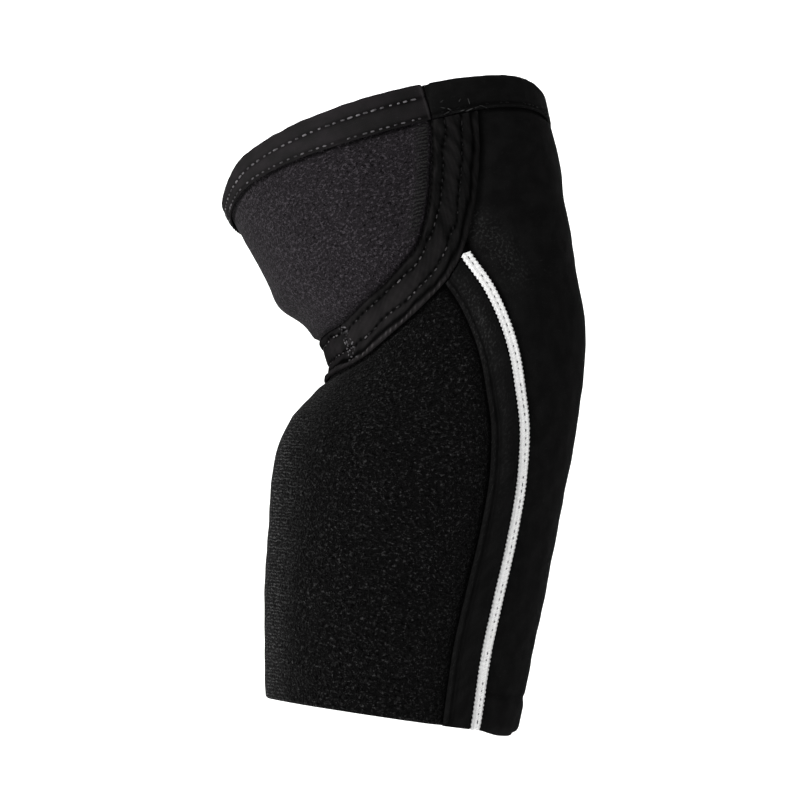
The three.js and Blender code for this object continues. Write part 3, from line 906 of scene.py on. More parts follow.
def band_tone(shifts, along, reach):
    """Painted shade in the groove at the front edge, at the stitch holes and in the groove beside the
    ridge; painted highlights on the lip, the raised middle flat and the ridge, palest, above 1, on
    the ridge's lumps; lighter over the elbow's inside."""
    w, s = rumpled(shifts, along)
    low = 1 - rising(reach, 12, 38)
    holes = 0.62 + 0.38 * np.sin(2 * math.pi * s / STITCH_PITCH + 0.7 * np.sin(s / 5.1))
    rows = sum(hump(w - row_shift(row, s, reach), 0.5) for row in BAND_ROWS)
    edge = 0.8 * hump(w + 7.1, 0.4) * (0.7 + 0.3 * np.sin(2 * math.pi * s / 2.4 + 1))
    lip = (0.35 + 0.2 * np.sin(s / 1.7 + np.sin(s / 4))) * hump(w + 6.2, 0.45) * (1 - low)
    # Painted shade in the grooves at the front edge and beside the ridge, and at the stitch holes.
    dark = edge + 0.95 * rows * holes + 0.7 * hump(w - BAND_GROOVE, 0.75)
    lumps = np.maximum(lumps_along(s + 0.5 * (w - BAND_RIDGE), reach), 0) ** 1.5
    ridge = (0.12 + low * (0.45 + 0.95 * lumps)) * hump(w - BAND_RIDGE, 0.75)
    patches = (0.16 * np.sin(s / 2.1 + 0.4 * w + 2 * np.sin(s / 7)) * np.sin(s / 5.3 + 1)
               + 0.13 * np.sin(s * 1.1 + 1.6 * w + 2 * np.sin(s / 3.1)) * np.sin(1.3 * w + s / 2.3))
    # Painted highlights on the raised middle, the lip and the ridge; lighter over the elbow's inside,
    # and mottled in patches.
    light = 0.2 * hump(w + 1.2, 1.9) + ridge + lip + 0.5 * low + patches
    return np.clip(light, -0.3, 2) - np.clip(dark, 0, 1) * (1 + np.clip(light, 0, 1))


def crease_tone(shifts, along, reach):
    # The band's tone, softened and darkened all over: painted shade on the crease band, where the
    # light falls strongly.
    return 0.7 * band_tone(shifts, along, reach) - 0.82


def scalloped(places, shifts):
    """Moves a ribbon's lanes in and out along its run, as a cosine of its ribs, the outer lanes
    most."""
    across = (places[:1] - places[-1:]) / (shifts[-1] - shifts[0])
    share = (shifts[::-1, None] / shifts[-1]) ** 3
    wave = np.cos(2 * math.pi * run_of(on_sleeve(places), 1) / TAPE_RIB)
    return places + across * (0.2 * share * wave)[..., None]


def trim(name, places, shifts, wall, material, relief_of, tone_of, far=False):
    """A ribbon laid over the panels, with its relief and tone across and along."""
    along = run_of(on_sleeve(places), 1)
    looks = [of(shifts, along, places[..., 1]) for of in (relief_of, tone_of)]
    marks = np.stack(np.broadcast_arrays(shifts[::-1, None], along), -1)
    if far:
        places = mirrored(places)
        places, marks, *looks = [grid[:, ::-1] for grid in (places, marks, *looks)]
    return cloth_over(name, places, LAY_GAP, LAY_GAP + wall, material, *looks, marks)


step_length = float(np.linalg.norm(np.diff(
    on_sleeve(band_half[int(joint_at):int(joint_at) + 2]), axis=0)))
joint_clear = JOINT_CLEAR / step_length
band_shifts = close_rimmed(-HALF_BAND, HALF_BAND, 52, (0, 0.1, 0.28, 0.5))
under_hem_foot = level(UPPER_LENGTH - BACK_HEM_DEPTH - LAY_GAP)
side_band_places = ribbon(near_part(band_line), band_shifts, joint_at + JOINT_SLIT / step_length,
                          under_hem_foot, shares_of(BAND_LENGTH, BAND_CELL),
                          band_growth(near_part(band_line)[:, 1]))
crease_reach = joint_at - JOINT_SLIT / step_length
crease_places = ribbon(band_line, band_shifts, float(band_middle - crease_reach),
                       float(band_middle + crease_reach), shares_of(CREASE_LENGTH, BAND_CELL))
strip_shifts = close_rimmed(STRIP_SHIFT, STRIP_SHIFT + STRIP_WIDTH, 24, (0, 0.08, 0.22, 0.4))
strip_places = ribbon(tape_line, strip_shifts, band_back_edge, foot_line,
                      shares_of(STRIP_LENGTH, STRIP_CELL))
tape_shifts = close_rimmed(-HALF_TAPE, HALF_TAPE, 9, (0, 0.1, 0.3, 0.55))
tape_corner = meeting(beside(tape_line, -HALF_TAPE), band_back_edge)
tape_top = beside(tape_line, -HALF_TAPE)[int(tape_corner), 1] - TAPE_TUCK
tape_places = scalloped(ribbon(tape_line, tape_shifts, (band_back_edge, level(tape_top)),
                               foot_line, shares_of(TAPE_LENGTH, TAPE_CELL)), tape_shifts)


def strip_grooves(shifts, *depths):
    return sum(depth * hump(shifts - at, 0.4) for depth, at in zip(depths, STRIP_GROOVES))


def strip_relief(shifts, along, reach):
    """A smooth strip with a rolled lip along its outer edge, two grooves inside the lip, and a
    soft uneven swell. It sinks at its foot."""
    w = shifts[::-1, None] - STRIP_SHIFT
    lip = 0.4 * hump(w - STRIP_LIP, 0.7)
    swell = (0.25 + 0.08 * np.sin(along / 4.1 + w)) * hump(w - 3.8, 2.4)
    free = smooth((reach + FOREARM_LENGTH) / FOOT_FREE)
    return (lip + swell - strip_grooves(w, 0.42, 0.22)) * free - FOOT_SINK * (1 - free)


def strip_tone(shifts, along, reach):
    """Dusty over the upper part, with painted shade in the grooves and a faint painted highlight
    on the lip.
    """
    w, s = shifts[::-1, None] - STRIP_SHIFT, along
    dust = 0.9 * hump(w - 5.5, 3.2) * hump(s - 17, 15) + 0.35 * hump(w - 5, 2.5) * hump(s - 50, 35)
    broken = 0.7 + 0.3 * np.sin(s / 2.7 + 2 * np.sin(s / 6.1))
    grooves = strip_grooves(w, 0.45, 0.25)
    # Painted shade in the grooves, a faint painted highlight on the lip, and dust.
    return dust + 0.3 * hump(w - STRIP_LIP, 0.6) - grooves * broken * (1 + dust)


def tape_relief(shifts, along, reach):
    """A woven tape: scalloped ribs across it, and a shallow groove down the middle. It sinks at
    its foot."""
    w = shifts[::-1, None]
    ribs = 0.1 * np.cos(2 * math.pi * along / TAPE_RIB) * (1 - hump(w, 0.45))
    crown = 0.18 * (1 - (w / HALF_TAPE) ** 2)
    free = smooth((reach + FOREARM_LENGTH) / FOOT_FREE)
    return ribs + crown - 0.2 * hump(w, 0.42) - FOOT_SINK * (1 - free)


def tape_tone(shifts, along, reach):
    """Faint painted shade down the middle groove and between the ribs."""
    w = shifts[::-1, None]
    return -0.12 * hump(w, 0.5) - 0.08 * (0.5 - 0.5 * np.cos(2 * math.pi * along / TAPE_RIB))


# Stitches: short arched threads, each a capsule of six sides

CAPSULE_PLACE = np.array((-0.5, -0.44, -0.2, 0.2, 0.44, 0.5))
CAPSULE_WIDTH = np.array((0.35, 0.8, 1.0, 1.0, 0.8, 0.35))
CAPSULE_SIDES = 6
LENGTH_SHAKE = 0.22
TURN_SHAKE = 4
LIFT_SHAKE = 0.05


def thread_pieces(name, spots, ways, outs, length, width, arch, material):
    """One mesh of many stitches. A stitch's points are its spot, plus its length along its way,
    its arch outwards as one less the square of the place, and a six-sided ring of its width."""
    count = len(spots)
    ways = unit(ways - outs * dot(ways, outs))
    across = np.cross(outs, ways)
    place = CAPSULE_PLACE[None, :, None, None]
    radius = width / 2 * CAPSULE_WIDTH[None, :, None, None]
    angle = (np.arange(CAPSULE_SIDES) * 2 * math.pi / CAPSULE_SIDES)[None, None, :, None]
    lengths = length * np.clip(chance.normal(1, LENGTH_SHAKE, count), 0.5, 1.5)[:, None, None, None]
    points = (spots[:, None, None] + ways[:, None, None] * place * lengths
              + outs[:, None, None] * (arch * (1 - (2 * place) ** 2) - width * 0.2
                                       + radius * np.cos(angle))
              + across[:, None, None] * radius * np.sin(angle))
    rings = len(CAPSULE_PLACE)
    number = np.arange(rings * CAPSULE_SIDES).reshape(rings, CAPSULE_SIDES)
    ahead = np.roll(number, -1, axis=1)
    sides = np.stack([number[:-1], ahead[:-1], ahead[1:], number[1:]], -1).reshape(-1, 4)
    halves = np.array(((0, 3, 2, 1), (0, 5, 4, 3)))
    ends = np.concatenate([halves, (rings - 1) * CAPSULE_SIDES + halves[:, ::-1]])
    one = np.concatenate([sides, ends])
    faces = (one[None] + (np.arange(count) * number.size)[:, None, None]).reshape(-1, 4)
    return put_mesh(name, points.reshape(-1, 3), faces, material)


def stitches_along(line, lift, pitch, skip=1.5, slant=0.0, shake=0.2, missing=0.1):
    """Spots, ways and outward normals of stitches at an even pitch along a line of places, each
    shaken a little, and some of them missing. slant, in degrees, turns each across the line, to
    and fro if a pair."""
    spots = lifted(line, lift)
    lengths = run_of(spots)
    count = max(1, int((lengths[-1] - 2 * skip) / pitch))
    wanted = skip + (np.arange(count) + 0.5) * (lengths[-1] - 2 * skip) / count
    wanted = wanted + chance.normal(0, shake, count)
    outs = facing(at_step(line, np.interp(wanted, lengths, np.arange(len(line)))))[2]
    spot = read_off(wanted, lengths, spots)
    way = unit(read_off(wanted + 0.3, lengths, spots) - spot)
    turns = np.radians(np.resize(slant, count) + chance.normal(0, TURN_SHAKE, count))[:, None]
    way = way * np.cos(turns) + np.cross(outs, way) * np.sin(turns)
    spot = spot + outs * chance.normal(0, LIFT_SHAKE, (count, 1))
    kept = chance.random(count) >= missing
    return spot[kept], way[kept], outs[kept]


def sewn_along(lines, far, *size, **manner):
    """The stitches along several lines of the near side, or along their mirror images."""
    rows = [stitches_along(mirrored(line) if far else line, *size, **manner) for line in lines]
    return [np.concatenate(parts) for parts in zip(*rows)]


def front_hem_row(reach):
    end = hem_corner[0] - ROW_INSET
    line = level(reach, -end, end)
    return stitches_along(front_hem_shape(line), HEM_TOP - HEM_SINK, HEM_PITCH, missing=0.04)


def back_hem_row():
    start = hem_corner[0] + slit_turn + ROW_INSET
    line = level(BACK_HEM_STITCHES[0], start, 2 * math.pi - start)
    return stitches_along(line, HEM_TOP - HEM_SINK, HEM_PITCH)


def foot_hem_row():
    line = level(HEM_STITCH_REACH, math.radians(131), math.radians(229))
    return stitches_along(foot_dropped(line), -0.3, STITCH_PITCH)


def band_row(row, line, start, end):
    """One row of stitches along a band line between two step counts, wandering as the band's own
    relief does."""
    plain = stretch(line, start, end, np.linspace(0, 1, 500))
    along = np.linspace(0, length_of(plain), 500)
    shift = row_shift(row, along, plain[:, 1]) + THREAD_ASIDE
    return beside(plain, shift * band_growth(plain[:, 1]))


def band_rows(far):
    whole = near_part(band_line)
    last = meeting(whole, under_hem_foot)
    rows = [band_row(row, whole, joint_at + joint_clear, last) for row in BAND_ROWS]
    return sewn_along(rows, far, BAND_TOP - BAND_SINK, STITCH_PITCH)


def crease_rows():
    start, end = band_middle - crease_reach + joint_clear, band_middle + crease_reach
    rows = [band_row(row, band_line, start, end - joint_clear) for row in BAND_ROWS]
    return sewn_along(rows, False, BAND_TOP - BAND_SINK, STITCH_PITCH)


def joint_tacks(far):
    """The tack over the joint of two bands: short threads to and fro in four close columns."""
    lanes = [beside(near_part(band_line), shift)
             for shift in np.linspace(-HALF_BAND + 0.6, HALF_BAND - 0.6, 40)]
    columns = [np.stack([at_step(lane, joint_at + step / step_length) for lane in lanes])
               for step in (-1.5, -0.5, 0.6, 1.7)]
    return sewn_along(columns, far, BAND_TOP, 1.5, skip=0.2, slant=(50, -35, 80, 10, -60), shake=0.4)


def corner_tacks(far):
    """Loose threads that hold the back hem's corner over the band's end: a line along the hem's
    edge and a few above it, each from a turn past the slit and a height over the edge to another."""
    start, edge = hem_corner[0] + slit_turn, UPPER_LENGTH - BACK_HEM_DEPTH
    ends = (((0.06, 0.8), (0.26, 0.2)), ((0.05, 3.4), (0.13, 1.2)), ((0.26, 0.9), (0.36, 0.5)),
            ((0.06, 4.8), (0.11, 5.1)), ((0.17, 3.4), (0.2, 4.6)), ((0.24, 2.6), (0.25, 5.0)))
    rows = [straight((start + a, edge + b), (start + c, edge + d), 60) for (a, b), (c, d) in ends]
    return sewn_along(rows, far, HEM_TOP, 2.3, skip=0.1, slant=(14, -20, 6), missing=0)


def tape_marks(far):
    """Small sunk stitches that hold the tape down its middle."""
    line = stretch(tape_line, meeting(tape_line, band_back_edge), meeting(tape_line, foot_line),
                   np.linspace(0, 1, 700))
    return sewn_along([line], far, LAY_GAP + TAPE_WALL + 0.04, STITCH_PITCH)


# Finishes. A group puts out a height and a mask from a place on the cloth in millimetres.


def new_group(name, inputs, outputs):
    """A node group with named number and vector inputs and number outputs."""
    tree = bpy.data.node_groups.new(name, "ShaderNodeTree")
    for label, value in inputs:
        kind = "NodeSocketVector" if value is None else "NodeSocketFloat"
        socket = tree.interface.new_socket(label, in_out="INPUT", socket_type=kind)
        if value is not None:
            socket.default_value = value
    for label in outputs:
        tree.interface.new_socket(label, in_out="OUTPUT", socket_type="NodeSocketFloat")
    return tree, tree.nodes.new("NodeGroupInput").outputs, tree.nodes.new("NodeGroupOutput").inputs


def feed(tree, socket, source):
    """A socket takes another socket's value, or a plain number or vector."""
    if isinstance(source, bpy.types.NodeSocket):
        tree.links.new(source, socket)
    else:
        socket.default_value = source


def new_node(tree, kind, sources, **settings):
    """A node with its settings, fed at the given sockets."""
    node = tree.nodes.new(kind)
    for name, value in settings.items():
        setattr(node, name, value)
    for key, source in sources.items():
        feed(tree, node.inputs[key], source)
    return node


def maths(tree, operation, *sources):
    return new_node(tree, "ShaderNodeMath", dict(enumerate(sources)), operation=operation).outputs[0]


def vectors(tree, operation, first, second):
    sources = {0: first, "Scale" if operation == "SCALE" else 1: second}
    return new_node(tree, "ShaderNodeVectorMath", sources, operation=operation).outputs[0]


def noise(tree, place, scale, detail=2.0, roughness=0.55):
    sources = {"Vector": place, "Scale": scale, "Detail": detail, "Roughness": roughness}
    return new_node(tree, "ShaderNodeTexNoise", sources).outputs


def ranged(tree, value, low, high, to_low=0.0, to_high=1.0):
    sources = {"Value": value, "From Min": low, "From Max": high, "To Min": to_low,
               "To Max": to_high}
    return new_node(tree, "ShaderNodeMapRange", sources, interpolation_type="SMOOTHSTEP").outputs[0]


def part_of(tree, place, axis):
    return new_node(tree, "ShaderNodeSeparateXYZ", {0: place}).outputs[axis]


def knit_group():
    """Courses of slanted stitches: a sine up the cloth whose phase runs to and fro across each
    wale, shifted a little by noise, and broken up by finer noise."""
    tree, given, put = new_group("Knit courses", [("Place", None), ("Wale", 0.8), ("Course", 0.7),
                                                  ("Looseness", 0.3)], ["Height", "Mask"])
    loose = noise(tree, given["Place"], 0.35)["Color"]
    moved = vectors(tree, "ADD", given["Place"], vectors(tree, "SCALE", loose, given["Looseness"]))
    half_wale = maths(tree, "MULTIPLY", given["Wale"], 0.5)
    side = maths(tree, "PINGPONG", part_of(tree, moved, "X"), half_wale)
    phase = maths(tree, "DIVIDE", maths(tree, "ADD", part_of(tree, moved, "Y"), side), given["Course"])
    wave = maths(tree, "SINE", maths(tree, "MULTIPLY", phase, 2 * math.pi))
    grain = noise(tree, given["Place"], 1.6, 3.0, 0.7)["Fac"]
    height = maths(tree, "MULTIPLY_ADD", wave, 0.25, grain)
    feed(tree, put["Height"], height)
    feed(tree, put["Mask"], ranged(tree, height, 0.35, 0.85))
    return tree


def fleck_group():
    """Flecks of lighter fibre: two noises of different grain, the finer cut hard."""
    tree, given, put = new_group("Flecks", [("Place", None), ("Grain", 1.5), ("Share", 0.6)],
                                 ["Mask"])
    fine = noise(tree, given["Place"], given["Grain"], 2.0, 0.7)["Fac"]
    broad = noise(tree, given["Place"], 0.12, 2.0)["Fac"]
    cut = maths(tree, "SUBTRACT", given["Share"], maths(tree, "MULTIPLY", broad, 0.12))
    feed(tree, put["Mask"], ranged(tree, fine, cut, maths(tree, "ADD", cut, 0.14)))
    return tree


def loop_group():
    """Curled loops: the ridges of a warped noise make worm-like curls, and cells of a Voronoi
    pattern raise some of them as single loops."""
    tree, given, put = new_group("Curled loops", [("Place", None), ("Size", 1.2)],
                                 ["Height", "Mask"])
    scaled = vectors(tree, "SCALE", given["Place"], maths(tree, "DIVIDE", 1.0, given["Size"]))
    warp = noise(tree, scaled, 0.8, 1.0)["Color"]
    bent = vectors(tree, "ADD", scaled, vectors(tree, "SCALE", warp, 1.3))
    from_ridge = maths(tree, "SUBTRACT", noise(tree, bent, 1.0, 1.0)["Fac"], 0.5)
    curl = ranged(tree, maths(tree, "ABSOLUTE", from_ridge), 0.12, 0.0)
    cell = new_node(tree, "ShaderNodeTexVoronoi", {"Vector": bent, "Scale": 1.0})
    bead = ranged(tree, cell.outputs["Distance"], 0.75, 0.1)
    height = maths(tree, "MULTIPLY_ADD", bead, 0.6, maths(tree, "MULTIPLY", curl, 0.55))
    feed(tree, put["Height"], height)
    feed(tree, put["Mask"], ranged(tree, height, 0.55, 1.1))
    return tree


def tape_group():
    """A narrow weave: ribs across the tape over a finer twill."""
    tree, given, put = new_group("Tape weave", [("Place", None), ("Pitch", 0.5)],
                                 ["Height", "Mask"])
    across, along = [part_of(tree, given["Place"], axis) for axis in "XY"]
    slope = maths(tree, "MULTIPLY_ADD", across, 0.7, along)
    turns = maths(tree, "MULTIPLY", slope, 2 * math.pi)
    wave = maths(tree, "SINE", maths(tree, "DIVIDE", turns, given["Pitch"]))
    grain = noise(tree, given["Place"], 2.2, 2.0)["Fac"]
    height = maths(tree, "MULTIPLY_ADD", wave, 0.3, grain)
    feed(tree, put["Height"], height)
    feed(tree, put["Mask"], ranged(tree, height, 0.2, 0.8))
    return tree


knit, flecks, loops, weave = knit_group(), fleck_group(), loop_group(), tape_group()


def placed(tree, group, place, **values):
    """A group's outputs at a place on the cloth."""
    return new_node(tree, "ShaderNodeGroup", {"Place": place, **values}, node_tree=group).outputs


def flecked(tree, place, grain, share, moved=(0, 0, 0)):
    """A mask of flecks. Moving the place keeps one mask's flecks clear of another's."""
    place = vectors(tree, "ADD", place, moved)
    return placed(tree, flecks, place, Grain=grain, Share=share)["Mask"]


def mixed(tree, factor, *colours):
    first, second = [colour if isinstance(colour, bpy.types.NodeSocket) else (*colour, 1)
                     for colour in colours]
    sources = {"Factor": factor, "A": first, "B": second}
    return new_node(tree, "ShaderNodeMix", sources, data_type="RGBA").outputs["Result"]


def layered(tree, base, *coats):
    """A base colour under coats, each given by its mask, how far it covers, and its colour."""
    for mask, cover, colour in coats:
        base = mixed(tree, maths(tree, "MULTIPLY", mask, cover), base, colour)
    return base


def grey(value):
    return value, value, value


def new_material(name, rough, shine):
    material = bpy.data.materials.new(name)
    material.use_nodes = True
    shader = material.node_tree.nodes["Principled BSDF"]
    shader.inputs["Roughness"].default_value = rough
    shader.inputs["Specular IOR Level"].default_value = shine
    return material, material.node_tree, shader


def new_cloth(name, rough, sheen, shine):
    """A material whose shader has its plain values set, and its tree and place on the cloth."""
    material, tree, shader = new_material(name, rough, shine)
    shader.inputs["Sheen Weight"].default_value = sheen
    shader.inputs["Sheen Roughness"].default_value = 0.45
    uv = new_node(tree, "ShaderNodeUVMap", {}, uv_map="Cloth").outputs["UV"]
    size = new_node(tree, "ShaderNodeMapping", {"Vector": uv, "Scale": grey(1 / UV_PER_MM)})
    return material, tree, shader, size.outputs["Vector"]


def finished(material, shader, base, height, depth):
    """Feeds in the base colour, and the normal from a height whose full step is the depth, in
    millimetres."""
    tree = material.node_tree
    sources = {"Distance": depth * METRES, "Strength": 1.0, "Height": height}
    bump = new_node(tree, "ShaderNodeBump", sources)
    tree.links.new(base, shader.inputs["Base Color"])
    tree.links.new(bump.outputs["Normal"], shader.inputs["Normal"])
    return material


def marked(tree, way, past=0.0):
    """How far the mesh's tone marks go past a number, up for way 1 or down for way -1, from 0
    to 1."""
    marks = new_node(tree, "ShaderNodeAttribute", {}, attribute_name="Tone").outputs["Fac"]
    share = maths(tree, "MULTIPLY_ADD", marks, way, -past)
    share.node.use_clamp = True
    return share


def towards_front(tree, place, start, full):
    """A share that grows from 0 at the start distance round from the front to 1 at the other."""
    return ranged(tree, maths(tree, "ABSOLUTE", part_of(tree, place, "X")), start, full)


def cross_ribs(tree, place, share, pitch, start, full):
    """The tops of fine ribs across the cloth, where the share has any: a sine up the cloth, a
    little uneven, whose tops begin at the start height and are full at the other."""
    uneven = noise(tree, place, 0.5, 3.0)["Fac"]
    phase = maths(tree, "MULTIPLY_ADD", uneven, 2.2, part_of(tree, place, "Y"))
    wave = maths(tree, "SINE", maths(tree, "MULTIPLY", phase, 2 * math.pi / pitch))
    return maths(tree, "MULTIPLY", share, ranged(tree, wave, start, full))


def charcoal_knit():
    """Heathered knit: curled fibres over fine courses, scattered lighter and darker fibres, larger
    clumps and holes towards the front, fine ribs where the tone marks are above 0, and painted shade
    where they are below 0."""
    material, tree, shader, place = new_cloth("Charcoal knit", 0.9, 0.02, 0.02)
    rows = placed(tree, knit, place, Wale=1.1, Course=0.95, Looseness=1.6)
    curls = placed(tree, loops, place, Size=0.9)
    ribbed = marked(tree, 1)
    clump_share = towards_front(tree, place, 55.0, 18.0)
    drawn_out = vectors(tree, "MULTIPLY", place, (0.6, 1, 1))
    clumps, holes = [maths(tree, "MULTIPLY", clump_share, flecked(tree, drawn_out, grain, 0.585))
                     for grain in (0.8, 0.95)]
    base = layered(
        tree, mixed(tree, curls["Mask"], (0.0105, 0.0092, 0.0106), (0.029, 0.0255, 0.0292)),
        (clumps, 0.75, (0.036, 0.032, 0.0363)),
        (holes, 0.75, (0.0035, 0.003, 0.0035)),
        (flecked(tree, place, 1.0, 0.585, (41, 7, 3)), 0.85, (0.0014, 0.0012, 0.0014)),
        (flecked(tree, place, 1.05, 0.6), 0.62, (0.06, 0.0535, 0.0605)),
        (ribbed, 0.85, grey(0.0028)),
        (cross_ribs(tree, place, ribbed, 1.15, -0.1, 0.7), 1, (0.0185, 0.0185, 0.018)),
        # Painted shade where the tone marks are below 0.
        (marked(tree, -1), 1, (0.0012, 0.0011, 0.0012)))
    height = maths(tree, "MULTIPLY_ADD", rows["Height"], 0.5, curls["Height"])
    return finished(material, shader, base, height, 0.35)


def black_terry():
    """Looped knit: worm-like curls with dark gaps between and a few light fibres on their tops.
    Over the very front are ribs, broken into light dashes, which are painted glints on the ribs' tops,
    and dark hollows. Where the tone marks are below 0 it darkens to painted shade."""
    material, tree, shader, place = new_cloth("Black terry", 0.95, 0.02, 0.01)
    curls = placed(tree, loops, place, Size=1.3)
    share = towards_front(tree, place, 33.0, 10.0)
    ribs = cross_ribs(tree, place, share, 1.1, 0.0, 0.8)
    drawn_out = vectors(tree, "MULTIPLY", place, (0.5, 1, 1))
    base = layered(
        tree, mixed(tree, curls["Mask"], grey(0.0021), grey(0.0092)),
        (share, 0.85, grey(0.001)),
        (ribs, 1, grey(0.0135)),
        # Light dashes on the ribs' tops: painted glints, a painted highlight.
        (ribs, flecked(tree, drawn_out, 0.85, 0.5), grey(0.07)),
        (share, flecked(tree, drawn_out, 0.95, 0.52, (7, 31, 3)), grey(0.0007)),
        (flecked(tree, place, 0.95, 0.58, (23, 11, 3)), 0.92, grey(0.0004)),
        (flecked(tree, place, 0.95, 0.63), 0.8, grey(0.031)),
        # Painted shade where the tone marks are below 0.
        (marked(tree, -1), 1, grey(0.0006)))
    return finished(material, shader, base, curls["Height"], 0.55)


def smooth_cloth(name, dark, pale, highlight_and_dust_tint, shine=0.0, dust_and_highlight_specks=False):
    """Smooth stretch cloth: very fine courses, soft mottling and a little lint. Where its tone
    marks are above 0 it takes the tint of its painted highlights, dust and light lines, or only
    specks of it when these come in specks, and where they are above 1 a paler tint, a stronger
    painted highlight. Where they are below 0 it darkens, mostly with painted shade."""
    material, tree, shader, place = new_cloth(name, 0.9, 0.0, shine)
    rows = placed(tree, knit, place, Wale=0.6, Course=0.5, Looseness=0.4)
    mottle = ranged(tree, noise(tree, place, 0.16, 3.0)["Fac"], 0.35, 0.7)
    cover = 1
    if dust_and_highlight_specks:
        cover = maths(tree, "MULTIPLY_ADD", flecked(tree, place, 1.1, 0.56), 0.85, 0.08)
    base = layered(
        tree, mixed(tree, mottle, dark, pale),
        (rows["Mask"], 0.35, pale),
        (flecked(tree, place, 1.0, 0.72), 0.3, [2.5 * part for part in pale]),
        # Above 0: painted highlights, dust and light lines; above 1: a stronger painted highlight;
        # below 0: mostly painted shade.
        (marked(tree, 1), cover, highlight_and_dust_tint),
        (marked(tree, 1, 1), 1, [4 * part for part in highlight_and_dust_tint]),
        (marked(tree, -1), 1, [0.12 * part for part in dark]))
    return finished(material, shader, base, rows["Height"], 0.06)


def white_tape():
    """A white weave, a little soiled in patches, and darkened with painted shade where its tone
    marks are below 0.
    """
    material, tree, shader, place = new_cloth("White tape", 0.7, 0.1, 0.3)
    ribs = placed(tree, weave, place, Pitch=0.55)
    soil = ranged(tree, noise(tree, place, 0.5, 3.0)["Fac"], 0.3, 0.75)
    base = layered(
        tree, mixed(tree, ribs["Mask"], (0.52, 0.52, 0.515), (0.8, 0.8, 0.795)),
        (soil, 0.2, (0.42, 0.42, 0.415)),
        # Painted shade where the tone marks are below 0.
        (marked(tree, -1), 1, (0.12, 0.12, 0.118)))
    return finished(material, shader, base, ribs["Height"], 0.12)


def thread(name, dark, pale, fades=False):
    """Sewing thread: its colour varies from stitch to stitch and along each one. If it fades, it
    is paler over the elbow's inside than farther up."""
    material, tree, shader = new_material(name, 0.8, 0.05)
    place = tree.nodes.new("ShaderNodeTexCoord").outputs["Object"]
    broad = ranged(tree, noise(tree, place, 260.0, 2.0)["Fac"], 0.35, 0.68)
    if fades:
        fading = ranged(tree, part_of(tree, place, "Z"), 0.06, 0.02, 0.06, 1.0)
        broad = maths(tree, "MULTIPLY", broad, fading)
    twist = noise(tree, place, 3200.0, 1.0)["Fac"]
    return finished(material, shader, mixed(tree, broad, dark, pale), twist, 0.08)


# The pieces in their finishes


def dress(piece, slot, *nodes):
    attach(piece, "root")
    if nodes:
        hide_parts(*nodes)
    return piece


charcoal = charcoal_knit()
terry = black_terry()
jersey = smooth_cloth("Black jersey", grey(0.0032), grey(0.0049), grey(0.022), 0.004, dust_and_highlight_specks=True)
binding = smooth_cloth("Smooth charcoal", (0.0101, 0.0099, 0.0099), (0.015, 0.0136, 0.0145),
                       (0.0165, 0.0155, 0.0161))
band_cloth = smooth_cloth("Black binding", grey(0.0033), (0.0052, 0.0051, 0.0051),
                          (0.0138, 0.0128, 0.0131))
tape_cloth = white_tape()
hem_thread = thread("Hem thread", (0.03, 0.0285, 0.03), (0.12, 0.115, 0.12))
edge_thread = thread("Hem edge thread", (0.016, 0.0152, 0.016), (0.085, 0.081, 0.085))
black_thread = thread("Black thread", grey(0.0015), grey(0.004))
band_thread = thread("Band thread", grey(0.004), (0.085, 0.081, 0.083), fades=True)
tack_thread = thread("Tack thread", (0.012, 0.0115, 0.012), (0.13, 0.125, 0.13))
corner_thread = thread("Corner thread", grey(0.004), grey(0.04))

sheets = [
    (dress(upper_front_panel(charcoal), "charcoal_knit", "upper_front_panel"), (0.25, 0.075), 0.0112),
    (dress(forearm_panel(terry), "black_terry", "forearm_panel"), (0.22, 0.14), 0.0232),
    (dress(back_panel(jersey), "black_jersey", "back_panel"), (0.155, 0.21), 0.0225),
    (dress(front_hem(binding), "smooth_charcoal", "front_hem"), (0.20, 0.0245), None),
    (dress(back_hem(jersey), "black_jersey", "back_hem"), (0.128, 0.028), None),
    (dress(lower_hem(jersey), "black_jersey", "lower_hem"), (0.085, 0.0115), None),
    (dress(trim("crease_binding", crease_places, band_shifts, BAND_WALL, binding, band_relief,
                crease_tone),
           "smooth_charcoal", "crease_band"), (0.055, 0.0145), None),
]
for far, word in ((False, "near"), (True, "far")):
    sheets += [
        (dress(trim(f"curved_binding_{word}", side_band_places, band_shifts, BAND_WALL,
                    band_cloth, band_relief, band_tone, far),
               "black_band", f"curved_band_{word}"), (0.10, 0.0155), None),
        (dress(trim(f"side_strip_cloth_{word}", strip_places, strip_shifts, STRIP_WALL,
                    jersey, strip_relief, strip_tone, far),
               "black_jersey", f"side_strip_{word}"), (0.165, 0.0102), None),
        (dress(trim(f"woven_tape_{word}", tape_places, tape_shifts, TAPE_WALL,
                    tape_cloth, tape_relief, tape_tone, far),
               "white_tape", f"white_tape_{word}"), (0.175, 0.0101), 0.00070),
    ]


def sew(name, row, size, material, slot):
    """Stitches as one piece. row: their spots, ways and normals; size: length, width and arch."""
    dress(thread_pieces(name, *row, *size, material), slot)


